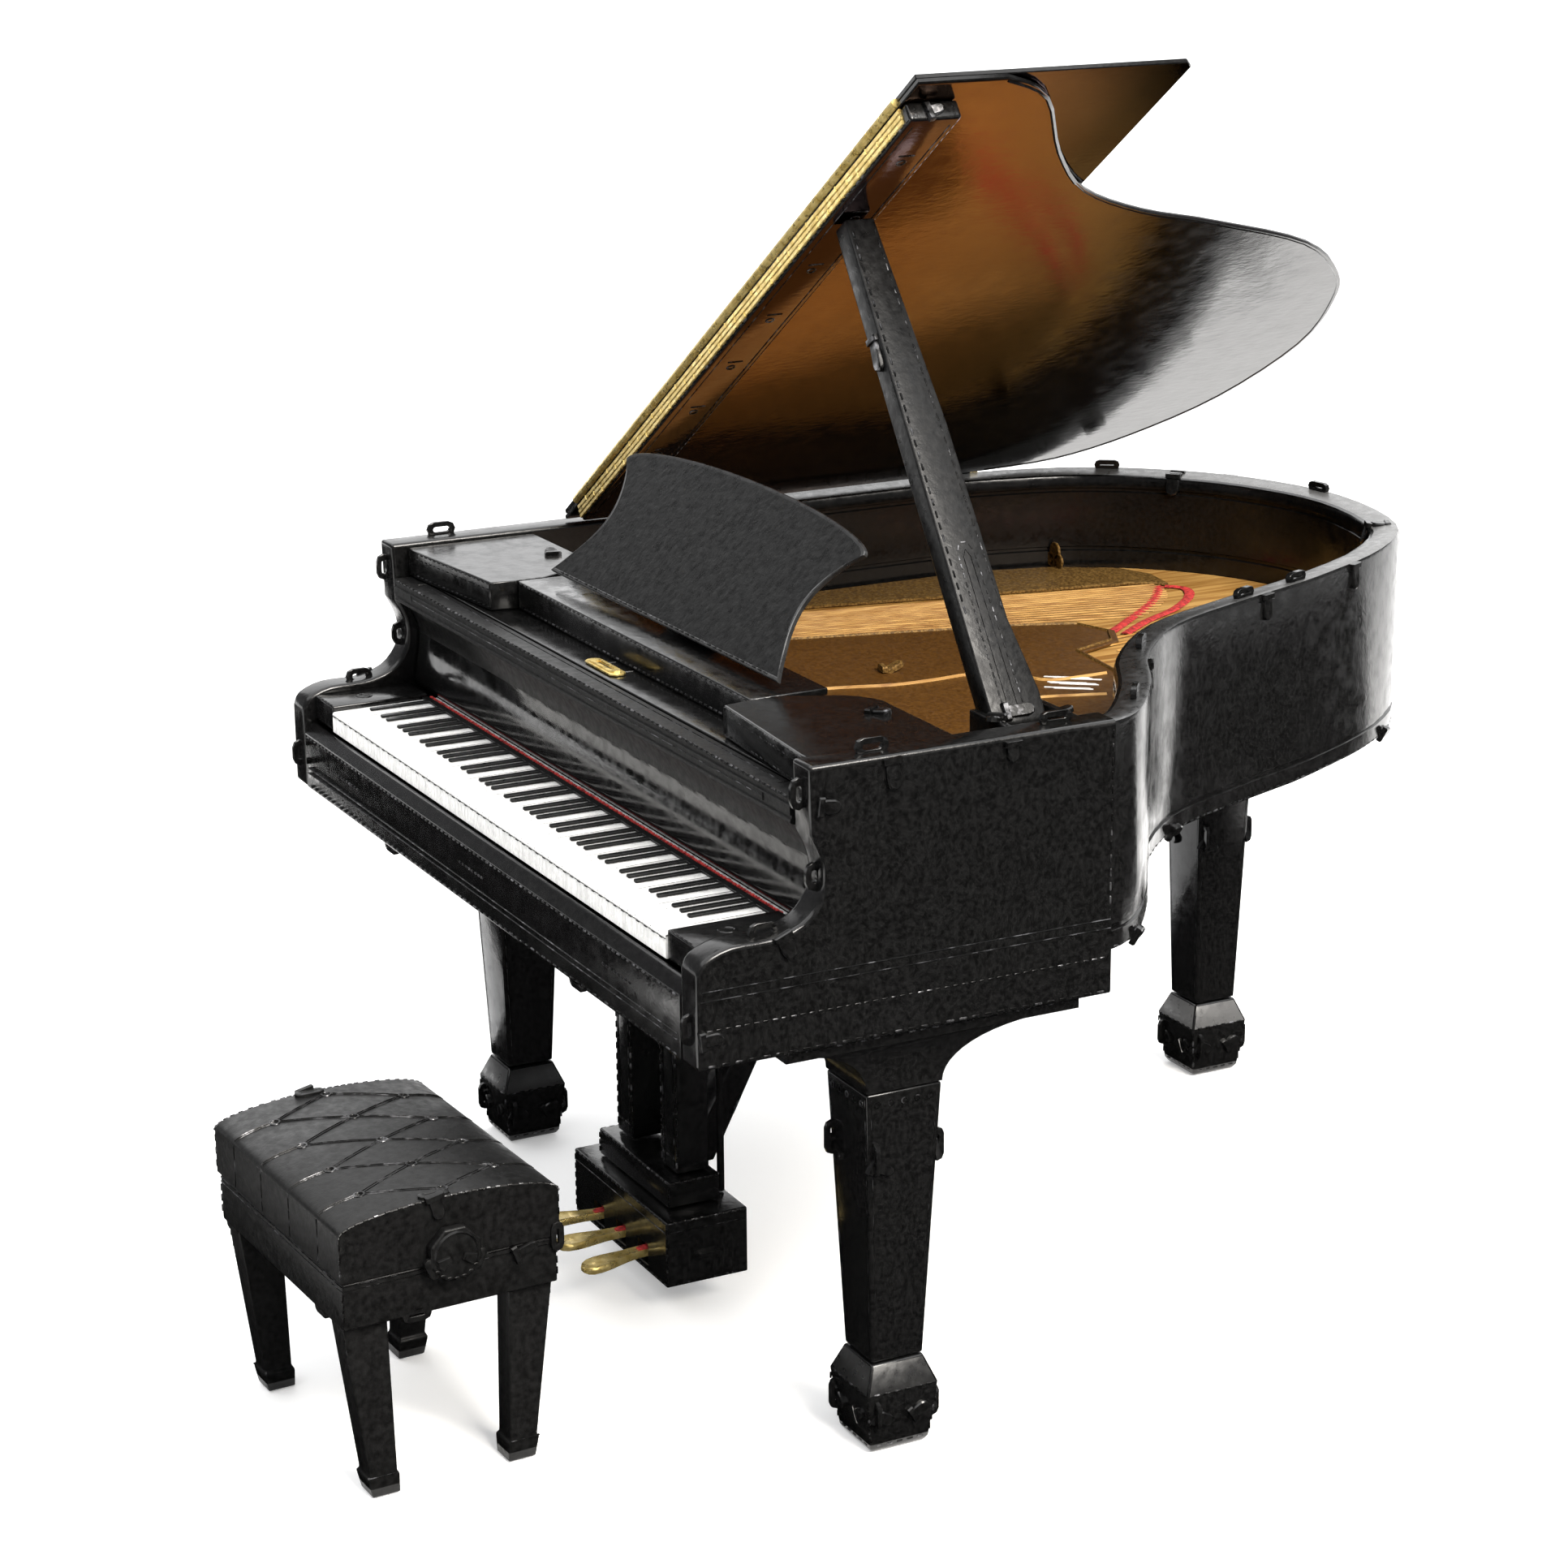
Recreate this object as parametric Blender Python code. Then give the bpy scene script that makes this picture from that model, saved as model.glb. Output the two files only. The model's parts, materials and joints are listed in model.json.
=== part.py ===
"""Miniature grand piano with its bench: a folded sheet-metal dolls house model, about 1:21.

Sizes are millimetres in the case's own frame: x to the treble side, y from the front of the arms
towards the tail, z up from the floor. GRAND_PIANO, an empty, scales that frame to metres and puts
the middle of the whole footprint at the world origin.
"""
import math

import bmesh
import bpy
from mathutils import Matrix, Vector

MM = 0.001
FIT = 0.1                    # gap between pieces that touch on the real thing

# Case
HALF_WIDTH = 35.0
WALL = 2.3
RIM_TOP = 47.8
RIM_BOTTOM = 32.7
KEYBED_BOTTOM = 29.9
KEYBED_BACK = 28.9
INNER = HALF_WIDTH - WALL - FIT
BENTSIDE = [(35.0, 26.0), (35.0, 28.9), (33.3, 31.9), (28.2, 36.0), (22.1, 39.8), (16.3, 45.9), (12.6, 54.2),
            (9.5, 62.3), (4.4, 71.8), (-2.0, 77.9), (-12.3, 80.3), (-21.5, 78.1), (-28.4, 73.2),
            (-32.9, 66.5), (-35.0, 58.0)]
ARM_NOSE = [(0.0, 29.9), (0.0, 35.9), (0.5, 36.8), (2.3, 37.45), (5.0, 37.5), (7.1, 38.1),
            (8.3, 39.4), (8.6, 40.7), (8.4, 42.0), (7.7, 43.5), (7.6, 47.8)]

# Keyboard
KEYS_HALF = 28.8
KEYS_FRONT = 0.9
KEYS_BACK = 9.3
KEY_TOP = 36.6
WHITE_KEYS = 52
KEYSLIP_TOP = 34.1
BLACK_THICK = 0.16
BLACK_BACK = 8.6
BLACK_LENGTH = 5.1

# Fallboard, shelf and music desk
FALL_PIVOT = (9.35, 37.05)
FALL_HALF_THICK = 0.35
LEDGE_TOP = 45.3
SHELF_TOP = 47.45
SHELF_FRONT = 11.9
SHELF_BACK = 17.6
DESK_PIVOT = (14.2, 47.85)
DESK_LEAN = math.radians(39.6)
DESK_HEIGHT = 10.1
DESK_THICK = 0.35
STRUT_REACH = 2.4

# Deck inside the case
DECK_TOP = 39.8
DECK_THICK = 0.6
DECK_FRONT = 18.8
PLATE_THICK = 0.25

# Lid, in its own plane: u up the slope from the hinge, n square to it
LID_PIVOT = (-35.0, 48.1)
HINGE_OUT = 0.57             # how far the lid hinges stand proud of the spine
LID_ANGLE = math.radians(34.3)
SHEET = 0.35
LID_START = 0.9
LID_FRONT = 22.5
LID_EDGE = 67.7
LID_TOP_N = -0.45
FLAP_DEPTH = 20.5
BEAM_BOTTOM_N = -2.1
BEAM_DEPTH = 3.8
BEAM_U = (3.5, 65.4)
LID_CURVE = [(67.7, 28.9), (65.0, 33.1), (57.4, 37.9), (51.3, 43.1), (47.2, 50.0), (44.2, 58.1),
             (39.6, 68.5), (33.9, 74.8), (28.7, 77.7), (20.8, 79.4), (11.5, 77.1), (5.0, 72.0),
             (1.6, 66.5), (0.9, 60.0)]

# Lid prop
PROP_PIVOT = (28.55, 46.6)
PROP_LEAN = math.radians(33.6)
PROP_FRONT = 23.5
PROP_THICK = 1.7
PROP_LENGTH = 34.7
PROP_WIDTHS = [(-0.3, 3.9), (1.6, 3.9), (6.5, 3.2), (20.0, 3.0), (PROP_LENGTH, 2.1)]

# Legs
LEG_CENTRES = {"front_left": (-29.57, 15.6), "front_right": (29.57, 15.6), "rear": (-16.0, 70.8)}
FOOT_SHOULDER = 4.3
COLUMN_BOTTOM = 6.2
CORBEL_BOTTOM = 25.1

# Lyre
BOX_HALF, BOX_FRONT, BOX_BACK, BOX_LOW, BOX_TOP = 7.75, 10.45, 16.75, 2.5, 7.4
STEP_TOP = 9.45
PILLAR_X, PILLAR_SIZE, PILLAR_Y = 3.7, 2.5, 13.95
PEDAL_PIVOT = (12.3, 3.75)
PEDAL_X = {"left": -3.7, "middle": 0.0, "right": 3.7}
PEDAL_TIP = 5.4

# Bench
BENCH_CENTRE = (12.4, -11.8)
BENCH_YAW = math.radians(2.67)
BENCH_HALF = (10.3, 7.5)
BENCH_LOW = 12.1
BENCH_LEG_X = 9.6            # outer faces of the legs, from the bench's middle
SEAT_LOW = 15.35
SEAT_EDGE = 18.5
SEAT_CROWN = 1.25
KNOB_Z = 16.05
KNOB_RADIUS = 1.85
KNOB_THICK = 0.7

BLACK = (0.012, 0.012, 0.013)
SATIN_BLACK = (0.035, 0.035, 0.037)
GOLD = (0.80, 0.60, 0.24)
BRONZE = (0.30, 0.15, 0.04)
PALE_WOOD = (0.70, 0.48, 0.22)
WHITE = (0.86, 0.86, 0.84)
RED = (0.45, 0.03, 0.03)


def material(name, colour, roughness, metallic):
    slot = bpy.data.materials.new(name)
    slot.use_nodes = True
    shader = slot.node_tree.nodes["Principled BSDF"]
    shader.inputs["Base Color"].default_value = (*colour, 1)
    shader.inputs["Roughness"].default_value = roughness
    shader.inputs["Metallic"].default_value = metallic
    return slot


def make(name, bm, parent, colour=BLACK, roughness=0.15, metallic=0.0, round_piece=False):
    """Turns a bmesh in the parent's frame into a named object with its own material."""
    bmesh.ops.recalc_face_normals(bm, faces=bm.faces)
    mesh = bpy.data.meshes.new(name)
    bm.to_mesh(mesh)
    bm.free()
    if round_piece:
        mesh.shade_smooth()
        mesh.set_sharp_from_angle(angle=math.radians(35))
    mesh.materials.append(material(name, colour, roughness, metallic))
    piece = bpy.data.objects.new(name, mesh)
    bpy.context.collection.objects.link(piece)
    piece.parent = parent
    return piece


def frame(name, parent, at=(0, 0, 0), turn=None):
    """An empty on a joint's axis; the pieces that turn with the joint are its children."""
    empty = bpy.data.objects.new(name, None)
    bpy.context.collection.objects.link(empty)
    empty.parent = parent
    empty.matrix_basis = Matrix.Translation(at) @ (turn or Matrix.Identity(4))
    return empty


def smooth_curve(points, steps=4):
    """Points on a Catmull-Rom curve through the given ones."""
    ends = [points[0]] + list(points) + [points[-1]]
    curve = []
    for a, b, c, d in zip(ends, ends[1:], ends[2:], ends[3:]):
        for step in range(steps):
            t = step / steps
            curve.append(tuple(0.5 * (2 * q + (r - p) * t + (2 * p - 5 * q + 4 * r - s) * t * t
                                      + (3 * q - p - 3 * r + s) * t ** 3)
                               for p, q, r, s in zip(a, b, c, d)))
    curve.append(tuple(points[-1]))
    return curve


def inset(path, distance):
    """The open path moved to its left by a distance; its ends, square to y, keep their y."""
    moved = [(path[0][0] - distance, path[0][1])]
    for before, point, after in zip(path, path[1:], path[2:]):
        along = (Vector(after) - Vector(before)).normalized()
        moved.append((point[0] - along.y * distance, point[1] + along.x * distance))
    moved.append((path[-1][0] + distance, path[-1][1]))
    return moved


def arc(centre, radius, start, end, steps):
    """Points on a circle from one angle to another, in degrees."""
    turns = [math.radians(start + (end - start) * i / steps) for i in range(steps + 1)]
    return [(centre[0] + radius * math.cos(t), centre[1] + radius * math.sin(t)) for t in turns]


def prism(outline, axis, low, high):
    """A closed prism: an outline in the plane square to an axis, run from low to high along it."""
    place = {"x": lambda a, b, h: (h, a, b), "y": lambda a, b, h: (a, h, b),
             "z": lambda a, b, h: (a, b, h)}[axis]
    bm = bmesh.new()
    bottom = [bm.verts.new(place(a, b, low)) for a, b in outline]
    top = [bm.verts.new(place(a, b, high)) for a, b in outline]
    bm.faces.new(bottom)
    bm.faces.new(top)
    for i, vert in enumerate(bottom):
        bm.faces.new((vert, bottom[i - 1], top[i - 1], top[i]))
    return bm


def box(low, high):
    corners = [(low[0], low[1]), (high[0], low[1]), (high[0], high[1]), (low[0], high[1])]
    return prism(corners, "z", low[2], high[2])


def stack(rings):
    """A closed body lofted through rectangles: (x0, x1, y0, y1, z) from the lowest to the highest."""
    bm = bmesh.new()
    loops = []
    for x0, x1, y0, y1, z in rings:
        loops.append([bm.verts.new(c) for c in ((x0, y0, z), (x1, y0, z), (x1, y1, z), (x0, y1, z))])
    bm.faces.new(loops[0])
    bm.faces.new(loops[-1])
    for lower, upper in zip(loops, loops[1:]):
        for i in range(4):
            bm.faces.new((lower[i], lower[i - 1], upper[i - 1], upper[i]))
    return bm


def square_ring(centre, size, z):
    x, y = centre
    return (x - size / 2, x + size / 2, y - size / 2, y + size / 2, z)


def chamfered(low, high, chamfer):
    """A rectangle's outline with cut corners."""
    (x0, y0), (x1, y1), c = low, high, chamfer
    return [(x0 + c, y0), (x1 - c, y0), (x1, y0 + c), (x1, y1 - c),
            (x1 - c, y1), (x0 + c, y1), (x0, y1 - c), (x0, y0 + c)]


def case_pieces(root):
    curve = [point for point in smooth_curve(BENTSIDE) if point[1] > KEYBED_BACK + 0.3]
    path = [(HALF_WIDTH, KEYBED_BACK + FIT)] + curve + [(-HALF_WIDTH, KEYBED_BACK + FIT)]
    wall = path + inset(path, WALL)[::-1]
    make("bentside_rim", prism(wall, "z", RIM_BOTTOM, RIM_TOP), root, round_piece=True)

    side = smooth_curve(ARM_NOSE[1:-1], 3)
    side = [ARM_NOSE[0]] + side + [ARM_NOSE[-1], (KEYBED_BACK, RIM_TOP), (KEYBED_BACK, KEYBED_BOTTOM)]
    make("side_panel_right", prism(side, "x", HALF_WIDTH - WALL, HALF_WIDTH), root, round_piece=True)
    make("side_panel_left", prism(side, "x", -HALF_WIDTH, WALL - HALF_WIDTH), root, round_piece=True)

    inner = inset(path, WALL + FIT)
    floor = [(INNER, KEYBED_BACK + 2 * FIT)] + inner[1:-1] + [(-INNER, KEYBED_BACK + 2 * FIT)]
    make("bottom_board", prism(floor, "z", RIM_BOTTOM, RIM_BOTTOM + 0.7), root)
    bed = [(KEYS_FRONT + FIT, KEYBED_BOTTOM), (KEYBED_BACK, KEYBED_BOTTOM),
           (KEYBED_BACK, RIM_BOTTOM + 0.7), (KEYBED_BACK - 0.9, RIM_BOTTOM + 0.7),
           (KEYBED_BACK - 0.9, KEYBED_BOTTOM + 1.3), (KEYS_FRONT + FIT, KEYBED_BOTTOM + 1.3)]
    make("keybed", prism(bed, "x", -INNER, INNER), root)
    slip = [(0, KEYBED_BOTTOM), (KEYS_FRONT, KEYBED_BOTTOM), (KEYS_FRONT, KEYSLIP_TOP + 0.8),
            (KEYS_FRONT - 0.3, KEYSLIP_TOP + 0.8), (0, KEYSLIP_TOP)]
    make("keyslip", prism(slip, "x", -INNER, INNER), root)

    deck = [(INNER, DECK_FRONT)] + inner[:-1] + [(-INNER, DECK_FRONT)]
    make("soundboard", prism(deck, "z", DECK_TOP - DECK_THICK, DECK_TOP), root, PALE_WOOD, 0.4)
    rail = [(17.7, DECK_TOP - DECK_THICK), (18.6, DECK_TOP - DECK_THICK), (18.6, LEDGE_TOP),
            (17.7, LEDGE_TOP)]
    make("belly_rail", prism(rail, "x", -INNER, INNER), root)


def deck_pieces(root):
    low, high = DECK_TOP + 0.05, DECK_TOP + 0.05 + PLATE_THICK
    band = [(-32.2, 21.0), (-27.4, 44.2), (-22.3, 67.5), (-20.7, 69.6), (-24.2, 70.2), (-27.2, 69.0),
            (-30.2, 64.6), (-32.0, 58.0)]
    make("iron_plate_spine", prism(band, "z", low, high), root, BRONZE, 0.35, 0.8)
    front = [(-24.4, 19.2), (-19.2, 36.3), (-15.1, 51.8), (-13.1, 56.4), (-9.7, 57.5), (-6.8, 56.0),
             (-5.4, 52.0), (3.0, 51.0), (9.2, 51.0), (13.3, 44.0), (20.5, 38.0), (31.5, 29.5), (32.2, 19.2)]
    make("iron_plate_front", prism(front, "z", low, high), root, BRONZE, 0.3, 0.8)
    bridge = [(-4.6, 31.0), (-3.7, 31.0), (-3.0, 42.0), (-3.9, 42.0)]
    make("treble_bridge", prism(bridge, "z", high + 0.05, high + 0.55), root, PALE_WOOD, 0.4)


def key_pieces(root):
    pitch = 2 * KEYS_HALF / WHITE_KEYS
    groove, depth = 0.06, 0.12
    top = [(KEYS_HALF, KEY_TOP)]
    for i in range(WHITE_KEYS - 1, 0, -1):
        x = -KEYS_HALF + i * pitch
        top += [(x + groove, KEY_TOP), (x, KEY_TOP - depth), (x - groove, KEY_TOP)]
    profile = [(-KEYS_HALF, KEYSLIP_TOP + 0.95), (KEYS_HALF, KEYSLIP_TOP + 0.95)] + top
    profile.append((-KEYS_HALF, KEY_TOP))
    make("white_keys", prism(profile, "y", KEYS_FRONT, KEYS_BACK), root, WHITE, 0.3)

    # Sharps sit after the A of the lowest pair and after C, D, F, G and A of each octave.
    sharps = [i for i in range(1, WHITE_KEYS) if (i - 1) % 7 in (0, 2, 3, 5, 6)]
    low = BLACK_BACK - BLACK_LENGTH
    comb = [(-KEYS_HALF, BLACK_BACK - 0.5)]
    for i in sharps:
        x = -KEYS_HALF + i * pitch
        comb += [(x - 0.24, BLACK_BACK - 0.5), (x - 0.24, low + 0.1), (x - 0.12, low),
                 (x + 0.12, low), (x + 0.24, low + 0.1), (x + 0.24, BLACK_BACK - 0.5)]
    comb += [(KEYS_HALF, BLACK_BACK - 0.5), (KEYS_HALF, BLACK_BACK), (-KEYS_HALF, BLACK_BACK)]
    base = KEY_TOP + 0.03
    make("black_keys", prism(comb, "z", base, base + BLACK_THICK), root, SATIN_BLACK, 0.4)
    felt = box((-KEYS_HALF, 8.66, base), (KEYS_HALF, 8.94, base + 0.2))
    make("key_felt", felt, root, RED, 0.9)
    make("key_support", box((-28.0, 3.0, 31.3), (28.0, 9.0, KEYSLIP_TOP + 0.85)), root)
    for name, side in (("left", -1), ("right", 1)):
        low_x, high_x = sorted((side * (KEYS_HALF + FIT), side * INNER))
        block = box((low_x, KEYS_FRONT + FIT, KEYSLIP_TOP + 0.95), (high_x, 8.6, KEY_TOP + 0.35))
        make("cheek_block_" + name, block, root)


def fallboard_pieces(root):
    """The board turns on the axis of its rounded foot; its ledge faces up while it is open."""
    y, z = FALL_PIVOT
    turn = frame("fallboard_axis", root, (0, y, z))
    foot = arc((0, 0), FALL_HALF_THICK, 0, -180, 6)
    front = [(-0.1, 1.6), (0.15, 3.0), (0.1, 4.4), (-0.6, 5.8), (-1.6, 6.55)]
    ledge = [(-1.75, 6.6), (-1.75, 8.05), (-1.6, 8.2), (-0.15, 8.2), (-0.15, 7.0)]
    back = [(0.55, 5.9), (0.8, 4.4), (0.8, 2.9), (0.55, 1.4)]
    profile = foot + front + ledge + back
    make("fallboard", prism(profile, "x", -INNER + 0.1, INNER - 0.1), turn, round_piece=True)
    step = [(9.35, LEDGE_TOP - 0.6), (12.6, LEDGE_TOP - 0.6), (12.6, LEDGE_TOP), (9.35, LEDGE_TOP)]
    make("fallboard_ledge", prism(step, "x", -INNER, INNER), root)
    plate = prism(chamfered((-2.6, 9.8), (2.2, 11.0), 0.35), "z", LEDGE_TOP + 0.03, LEDGE_TOP + 0.2)
    make("lock_plate", plate, root, GOLD, 0.3, 1.0)


def shelf_pieces(root):
    low = LEDGE_TOP + 0.05
    skirt = [(SHELF_FRONT, low), (SHELF_FRONT + 0.5, low), (SHELF_FRONT + 0.5, SHELF_TOP - 0.5),
             (SHELF_BACK, SHELF_TOP - 0.5), (SHELF_BACK, SHELF_TOP), (SHELF_FRONT, SHELF_TOP)]
    make("music_shelf", prism(skirt, "x", -18.55, 18.55), root)
    corner = arc((23.9, 15.2), 4.2, 105, 165, 5)
    wing = [(19.0, 9.9), (31.2, 8.9), (INNER, 8.9), (INNER, 19.2)] + corner
    wing += [(18.7, 14.0), (18.7, 11.6)]
    make("shelf_block_right", prism(wing, "z", low, SHELF_TOP), root)
    mirrored = [(-x, y) for x, y in wing]
    make("shelf_block_left", prism(mirrored, "z", low, SHELF_TOP), root)


def desk_pieces(root):
    y, z = DESK_PIVOT
    lean = Matrix.Rotation(-DESK_LEAN, 4, "X")
    turn = frame("desk_axis", root, (0, y, z), lean)
    waist = [(17.9, 0.25), (17.0, 1.4), (15.6, 3.6), (15.1, 5.4), (15.5, 7.2), (16.7, 9.0), (18.0, 10.1)]
    right = smooth_curve(waist, 2)
    crown = [(18.0 * math.cos(t), DESK_HEIGHT + 1.9 * math.sin(t))
             for t in (math.pi * i / 12 for i in range(1, 12))]
    left = [(-x, h) for x, h in reversed(right)]
    plate = prism(right + crown + left, "y", -DESK_THICK / 2, DESK_THICK / 2)
    make("music_desk", plate, turn, SATIN_BLACK, 0.45, round_piece=True)
    # The strut makes a triangle with the desk, whose two sloping sides are nearly equal.
    fold = frame("desk_strut_axis", turn, (0, 0.4, STRUT_REACH), Matrix.Rotation(2 * DESK_LEAN, 4, "X"))
    foot = [(-0.15, -2.3), (0.15, -2.3), (0.15, 0.1), (-0.15, 0.1)]
    make("desk_strut", prism(foot, "x", -4.0, 4.0), fold, SATIN_BLACK, 0.45)


def lid_pieces(root):
    turn = Matrix.Rotation(-LID_ANGLE, 4, "Y")
    lid = frame("lid_axis", root, (LID_PIVOT[0], 0, LID_PIVOT[1]), turn)
    top, low = LID_TOP_N, LID_TOP_N - SHEET
    outline = [(LID_START, LID_FRONT), (LID_EDGE, LID_FRONT)] + smooth_curve(LID_CURVE)
    make("lid", prism(outline, "z", low, top), lid, round_piece=True)
    beam = [(LID_FRONT + 0.12, low - 0.05), (LID_FRONT + 0.12, BEAM_BOTTOM_N),
            (LID_FRONT + BEAM_DEPTH, BEAM_BOTTOM_N), (LID_FRONT + BEAM_DEPTH, low - 0.05)]
    make("lid_beam", prism(beam, "x", *BEAM_U), lid)
    strip = [(LID_FRONT + 0.06, low - 0.1), (LID_FRONT + 0.06, BEAM_BOTTOM_N + 0.45),
             (LID_FRONT - 0.04, BEAM_BOTTOM_N + 0.45), (LID_FRONT - 0.04, low - 0.1)]
    make("lid_hinge_strip", prism(strip, "x", BEAM_U[0] + 0.2, BEAM_U[1] - 1.0), lid, GOLD, 0.3, 1.0)

    pivot_n = LID_TOP_N + 0.05
    flap = frame("flap_axis", lid, (0, LID_FRONT, pivot_n))
    sheet = [(LID_START, FIT), (LID_EDGE - 0.3, FIT), (LID_EDGE - 0.3, FLAP_DEPTH - 0.6),
             (LID_EDGE - 0.9, FLAP_DEPTH), (LID_START, FLAP_DEPTH)]
    make("lid_flap", prism(sheet, "z", 0.05, 0.05 + SHEET), flap)

    for name, y in (("front", 30.0), ("rear", 56.5)):
        leaf = [(-35.3, 46.0), (-35.03, 46.0), (-35.03, 47.85)]
        knuckle = arc((0.3 - HALF_WIDTH - HINGE_OUT, 48.1), 0.3, -40, 220, 8)
        hinge = prism(leaf + knuckle, "y", y, y + 3.6)
        make("lid_hinge_" + name, hinge, root, GOLD, 0.3, 1.0)


def prop_pieces(root):
    x, z = PROP_PIVOT
    turn = frame("prop_axis", root, (x, 0, z), Matrix.Rotation(-PROP_LEAN, 4, "Y"))
    half = PROP_THICK / 2
    rings = [(-0.45, 0.45, PROP_FRONT, PROP_FRONT + PROP_WIDTHS[0][1], -half)]
    rings += [(-half, half, PROP_FRONT, PROP_FRONT + width, z) for z, width in PROP_WIDTHS]
    make("lid_prop", stack(rings), turn)
    y0, y1 = PROP_FRONT - 0.7, PROP_FRONT + PROP_WIDTHS[0][1] + 0.7
    yoke = [(INNER, y0), (INNER, y1), (x - 1, y1), (x - 1, y1 - 0.5), (INNER - 0.5, y1 - 0.5),
            (INNER - 0.5, y0 + 0.5), (x - 1, y0 + 0.5), (x - 1, y0)]
    make("prop_bracket", prism(yoke, "z", 44.4, 47.5), root)


def leg_pieces(root):
    for name, centre in LEG_CENTRES.items():
        foot = stack([square_ring(centre, 3.9, 0), square_ring(centre, 4.33, 0.35),
                      square_ring(centre, 5.2, FOOT_SHOULDER),
                      square_ring(centre, 3.75, COLUMN_BOTTOM - FIT)])
        make("foot_" + name, foot, root)
        top = RIM_BOTTOM - FIT if name == "rear" else CORBEL_BOTTOM - FIT
        column = stack([square_ring(centre, 3.7, COLUMN_BOTTOM), square_ring(centre, 5.35, top)])
        make("leg_" + name, column, root)
    for name, side in (("left", -1), ("right", 1)):
        x, y = LEG_CENTRES["front_" + name]
        rings = []
        for t in (0, 0.2, 0.4, 0.6, 0.8, 0.93, 1.0):
            spread = 1 - math.sqrt(1 - t * t)
            inner, outer = x - side * (2.7 + 3.2 * spread), x + side * (2.7 + 1.9 * spread)
            rings.append((min(inner, outer), max(inner, outer), y - 2.7 - 6.6 * spread,
                          y + 2.7 + 8.8 * spread, CORBEL_BOTTOM + t * 3.9))
        rings.append((*rings[-1][:4], KEYBED_BOTTOM - FIT))
        make("corbel_" + name, stack(rings), root)


def lyre_pieces(root):
    block = make("lyre_box", box((-BOX_HALF, BOX_FRONT, BOX_LOW), (BOX_HALF, BOX_BACK, BOX_TOP)), root)
    for name, x in PEDAL_X.items():
        y, z = PEDAL_PIVOT
        slot = box((x - 0.85, BOX_FRONT - 1, z - 0.75), (x + 0.85, y + 1.2, z + 0.75))
        cutter = make("pedal_slot_" + name, slot, root)
        cutter.hide_render = True
        cutter.display_type = "WIRE"
        cut = block.modifiers.new("slot_" + name, "BOOLEAN")
        cut.operation = "DIFFERENCE"
        cut.object = cutter

        turn = frame("pedal_axis_" + name, root, (x, y, z))
        lean = 0.18 * (x > 0) - 0.18 * (x < 0)
        reach = PEDAL_TIP - y + 1.0
        shank = [(0.5, 0.6), (0.5, -2.0), (0.62, -3.6), (0.95, -5.0)]
        tip = [(0.95 * math.cos(a), reach + math.sin(a)) for a in (-math.pi * i / 8 for i in range(1, 8))]
        outline = shank + tip + [(-w, d) for w, d in reversed(shank)]
        outline = [(w - lean * min(d + 2.0, 0), d) for w, d in outline]
        make("pedal_" + name, prism(outline, "z", -0.3, 0.3), turn, GOLD, 0.3, 1.0)

    make("lyre_step", box((-5.8, 11.6, BOX_TOP + FIT), (5.8, 15.6, STEP_TOP)), root)
    half = PILLAR_SIZE / 2
    for name, side in (("left", -1), ("right", 1)):
        x = side * PILLAR_X
        pillar = box((x - half, PILLAR_Y - half, STEP_TOP + FIT),
                     (x + half, PILLAR_Y + half, KEYBED_BOTTOM - FIT))
        make("lyre_pillar_" + name, pillar, root)
        bm = bmesh.new()
        bmesh.ops.create_cone(bm, cap_ends=True, segments=10, radius1=0.27, radius2=0.27,
                              depth=KEYBED_BOTTOM - BOX_TOP - 2 * FIT)
        bmesh.ops.translate(bm, verts=bm.verts, vec=(side * 4.5, 16.3, (KEYBED_BOTTOM + BOX_TOP) / 2))
        make("lyre_rod_" + name, bm, root, round_piece=True)
    brace = [(16.0, STEP_TOP - 0.9), (17.2, STEP_TOP - 0.9), (28.2, KEYBED_BOTTOM - FIT),
             (26.4, KEYBED_BOTTOM - FIT), (16.0, STEP_TOP + 1.2)]
    make("lyre_brace", prism(brace, "x", -1.6, 1.6), root)


def bench_leg_ring(sx, sy, outer_y, deep, wide, z):
    """A section of a bench leg, measured in from its outer corner."""
    xs = sorted((sx * BENCH_LEG_X, sx * (BENCH_LEG_X - wide)))
    ys = sorted((sy * outer_y, sy * (outer_y - deep)))
    return (*xs, *ys, z)


def bench_pieces(root):
    turn = Matrix.Rotation(BENCH_YAW, 4, "Z")
    bench = frame("bench_place", root, (*BENCH_CENTRE, 0), turn)
    hx, hy = BENCH_HALF
    inner_x, inner_y = hx - 0.15, hy - 0.15
    apron = box((-inner_x, -inner_y, BENCH_LOW), (inner_x, inner_y, SEAT_LOW - FIT))
    make("bench_frame", apron, bench)
    crown = [(hy * math.cos(a), SEAT_EDGE + SEAT_CROWN * math.sin(a))
             for a in (math.pi * i / 14 for i in range(15))]
    seat = [(-hy, SEAT_LOW), (hy, SEAT_LOW)] + crown
    make("bench_seat", prism(seat, "x", -hx, hx), bench, round_piece=True)
    for end, sx in (("left", -1), ("right", 1)):
        for row, sy in (("front", -1), ("rear", 1)):
            sizes = [(5.7, 1.9, 1.9, 0), (6.0, 2.2, 2.0, 1.3), (5.85, 1.9, 1.8, 1.5),
                     (7.2, 3.0, 1.9, BENCH_LOW - FIT)]
            leg = stack([bench_leg_ring(sx, sy, *size) for size in sizes])
            make(f"bench_leg_{row}_{end}", leg, bench)
        knob = frame("bench_knob_axis_" + end, bench, (sx * hx, 0, KNOB_Z))
        faces = arc((0, 0), KNOB_RADIUS, 22.5, 337.5, 7)
        low_x, high_x = sorted((sx * FIT, sx * (FIT + KNOB_THICK)))
        make("bench_knob_" + end, prism(faces, "x", low_x, high_x), knob)


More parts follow.
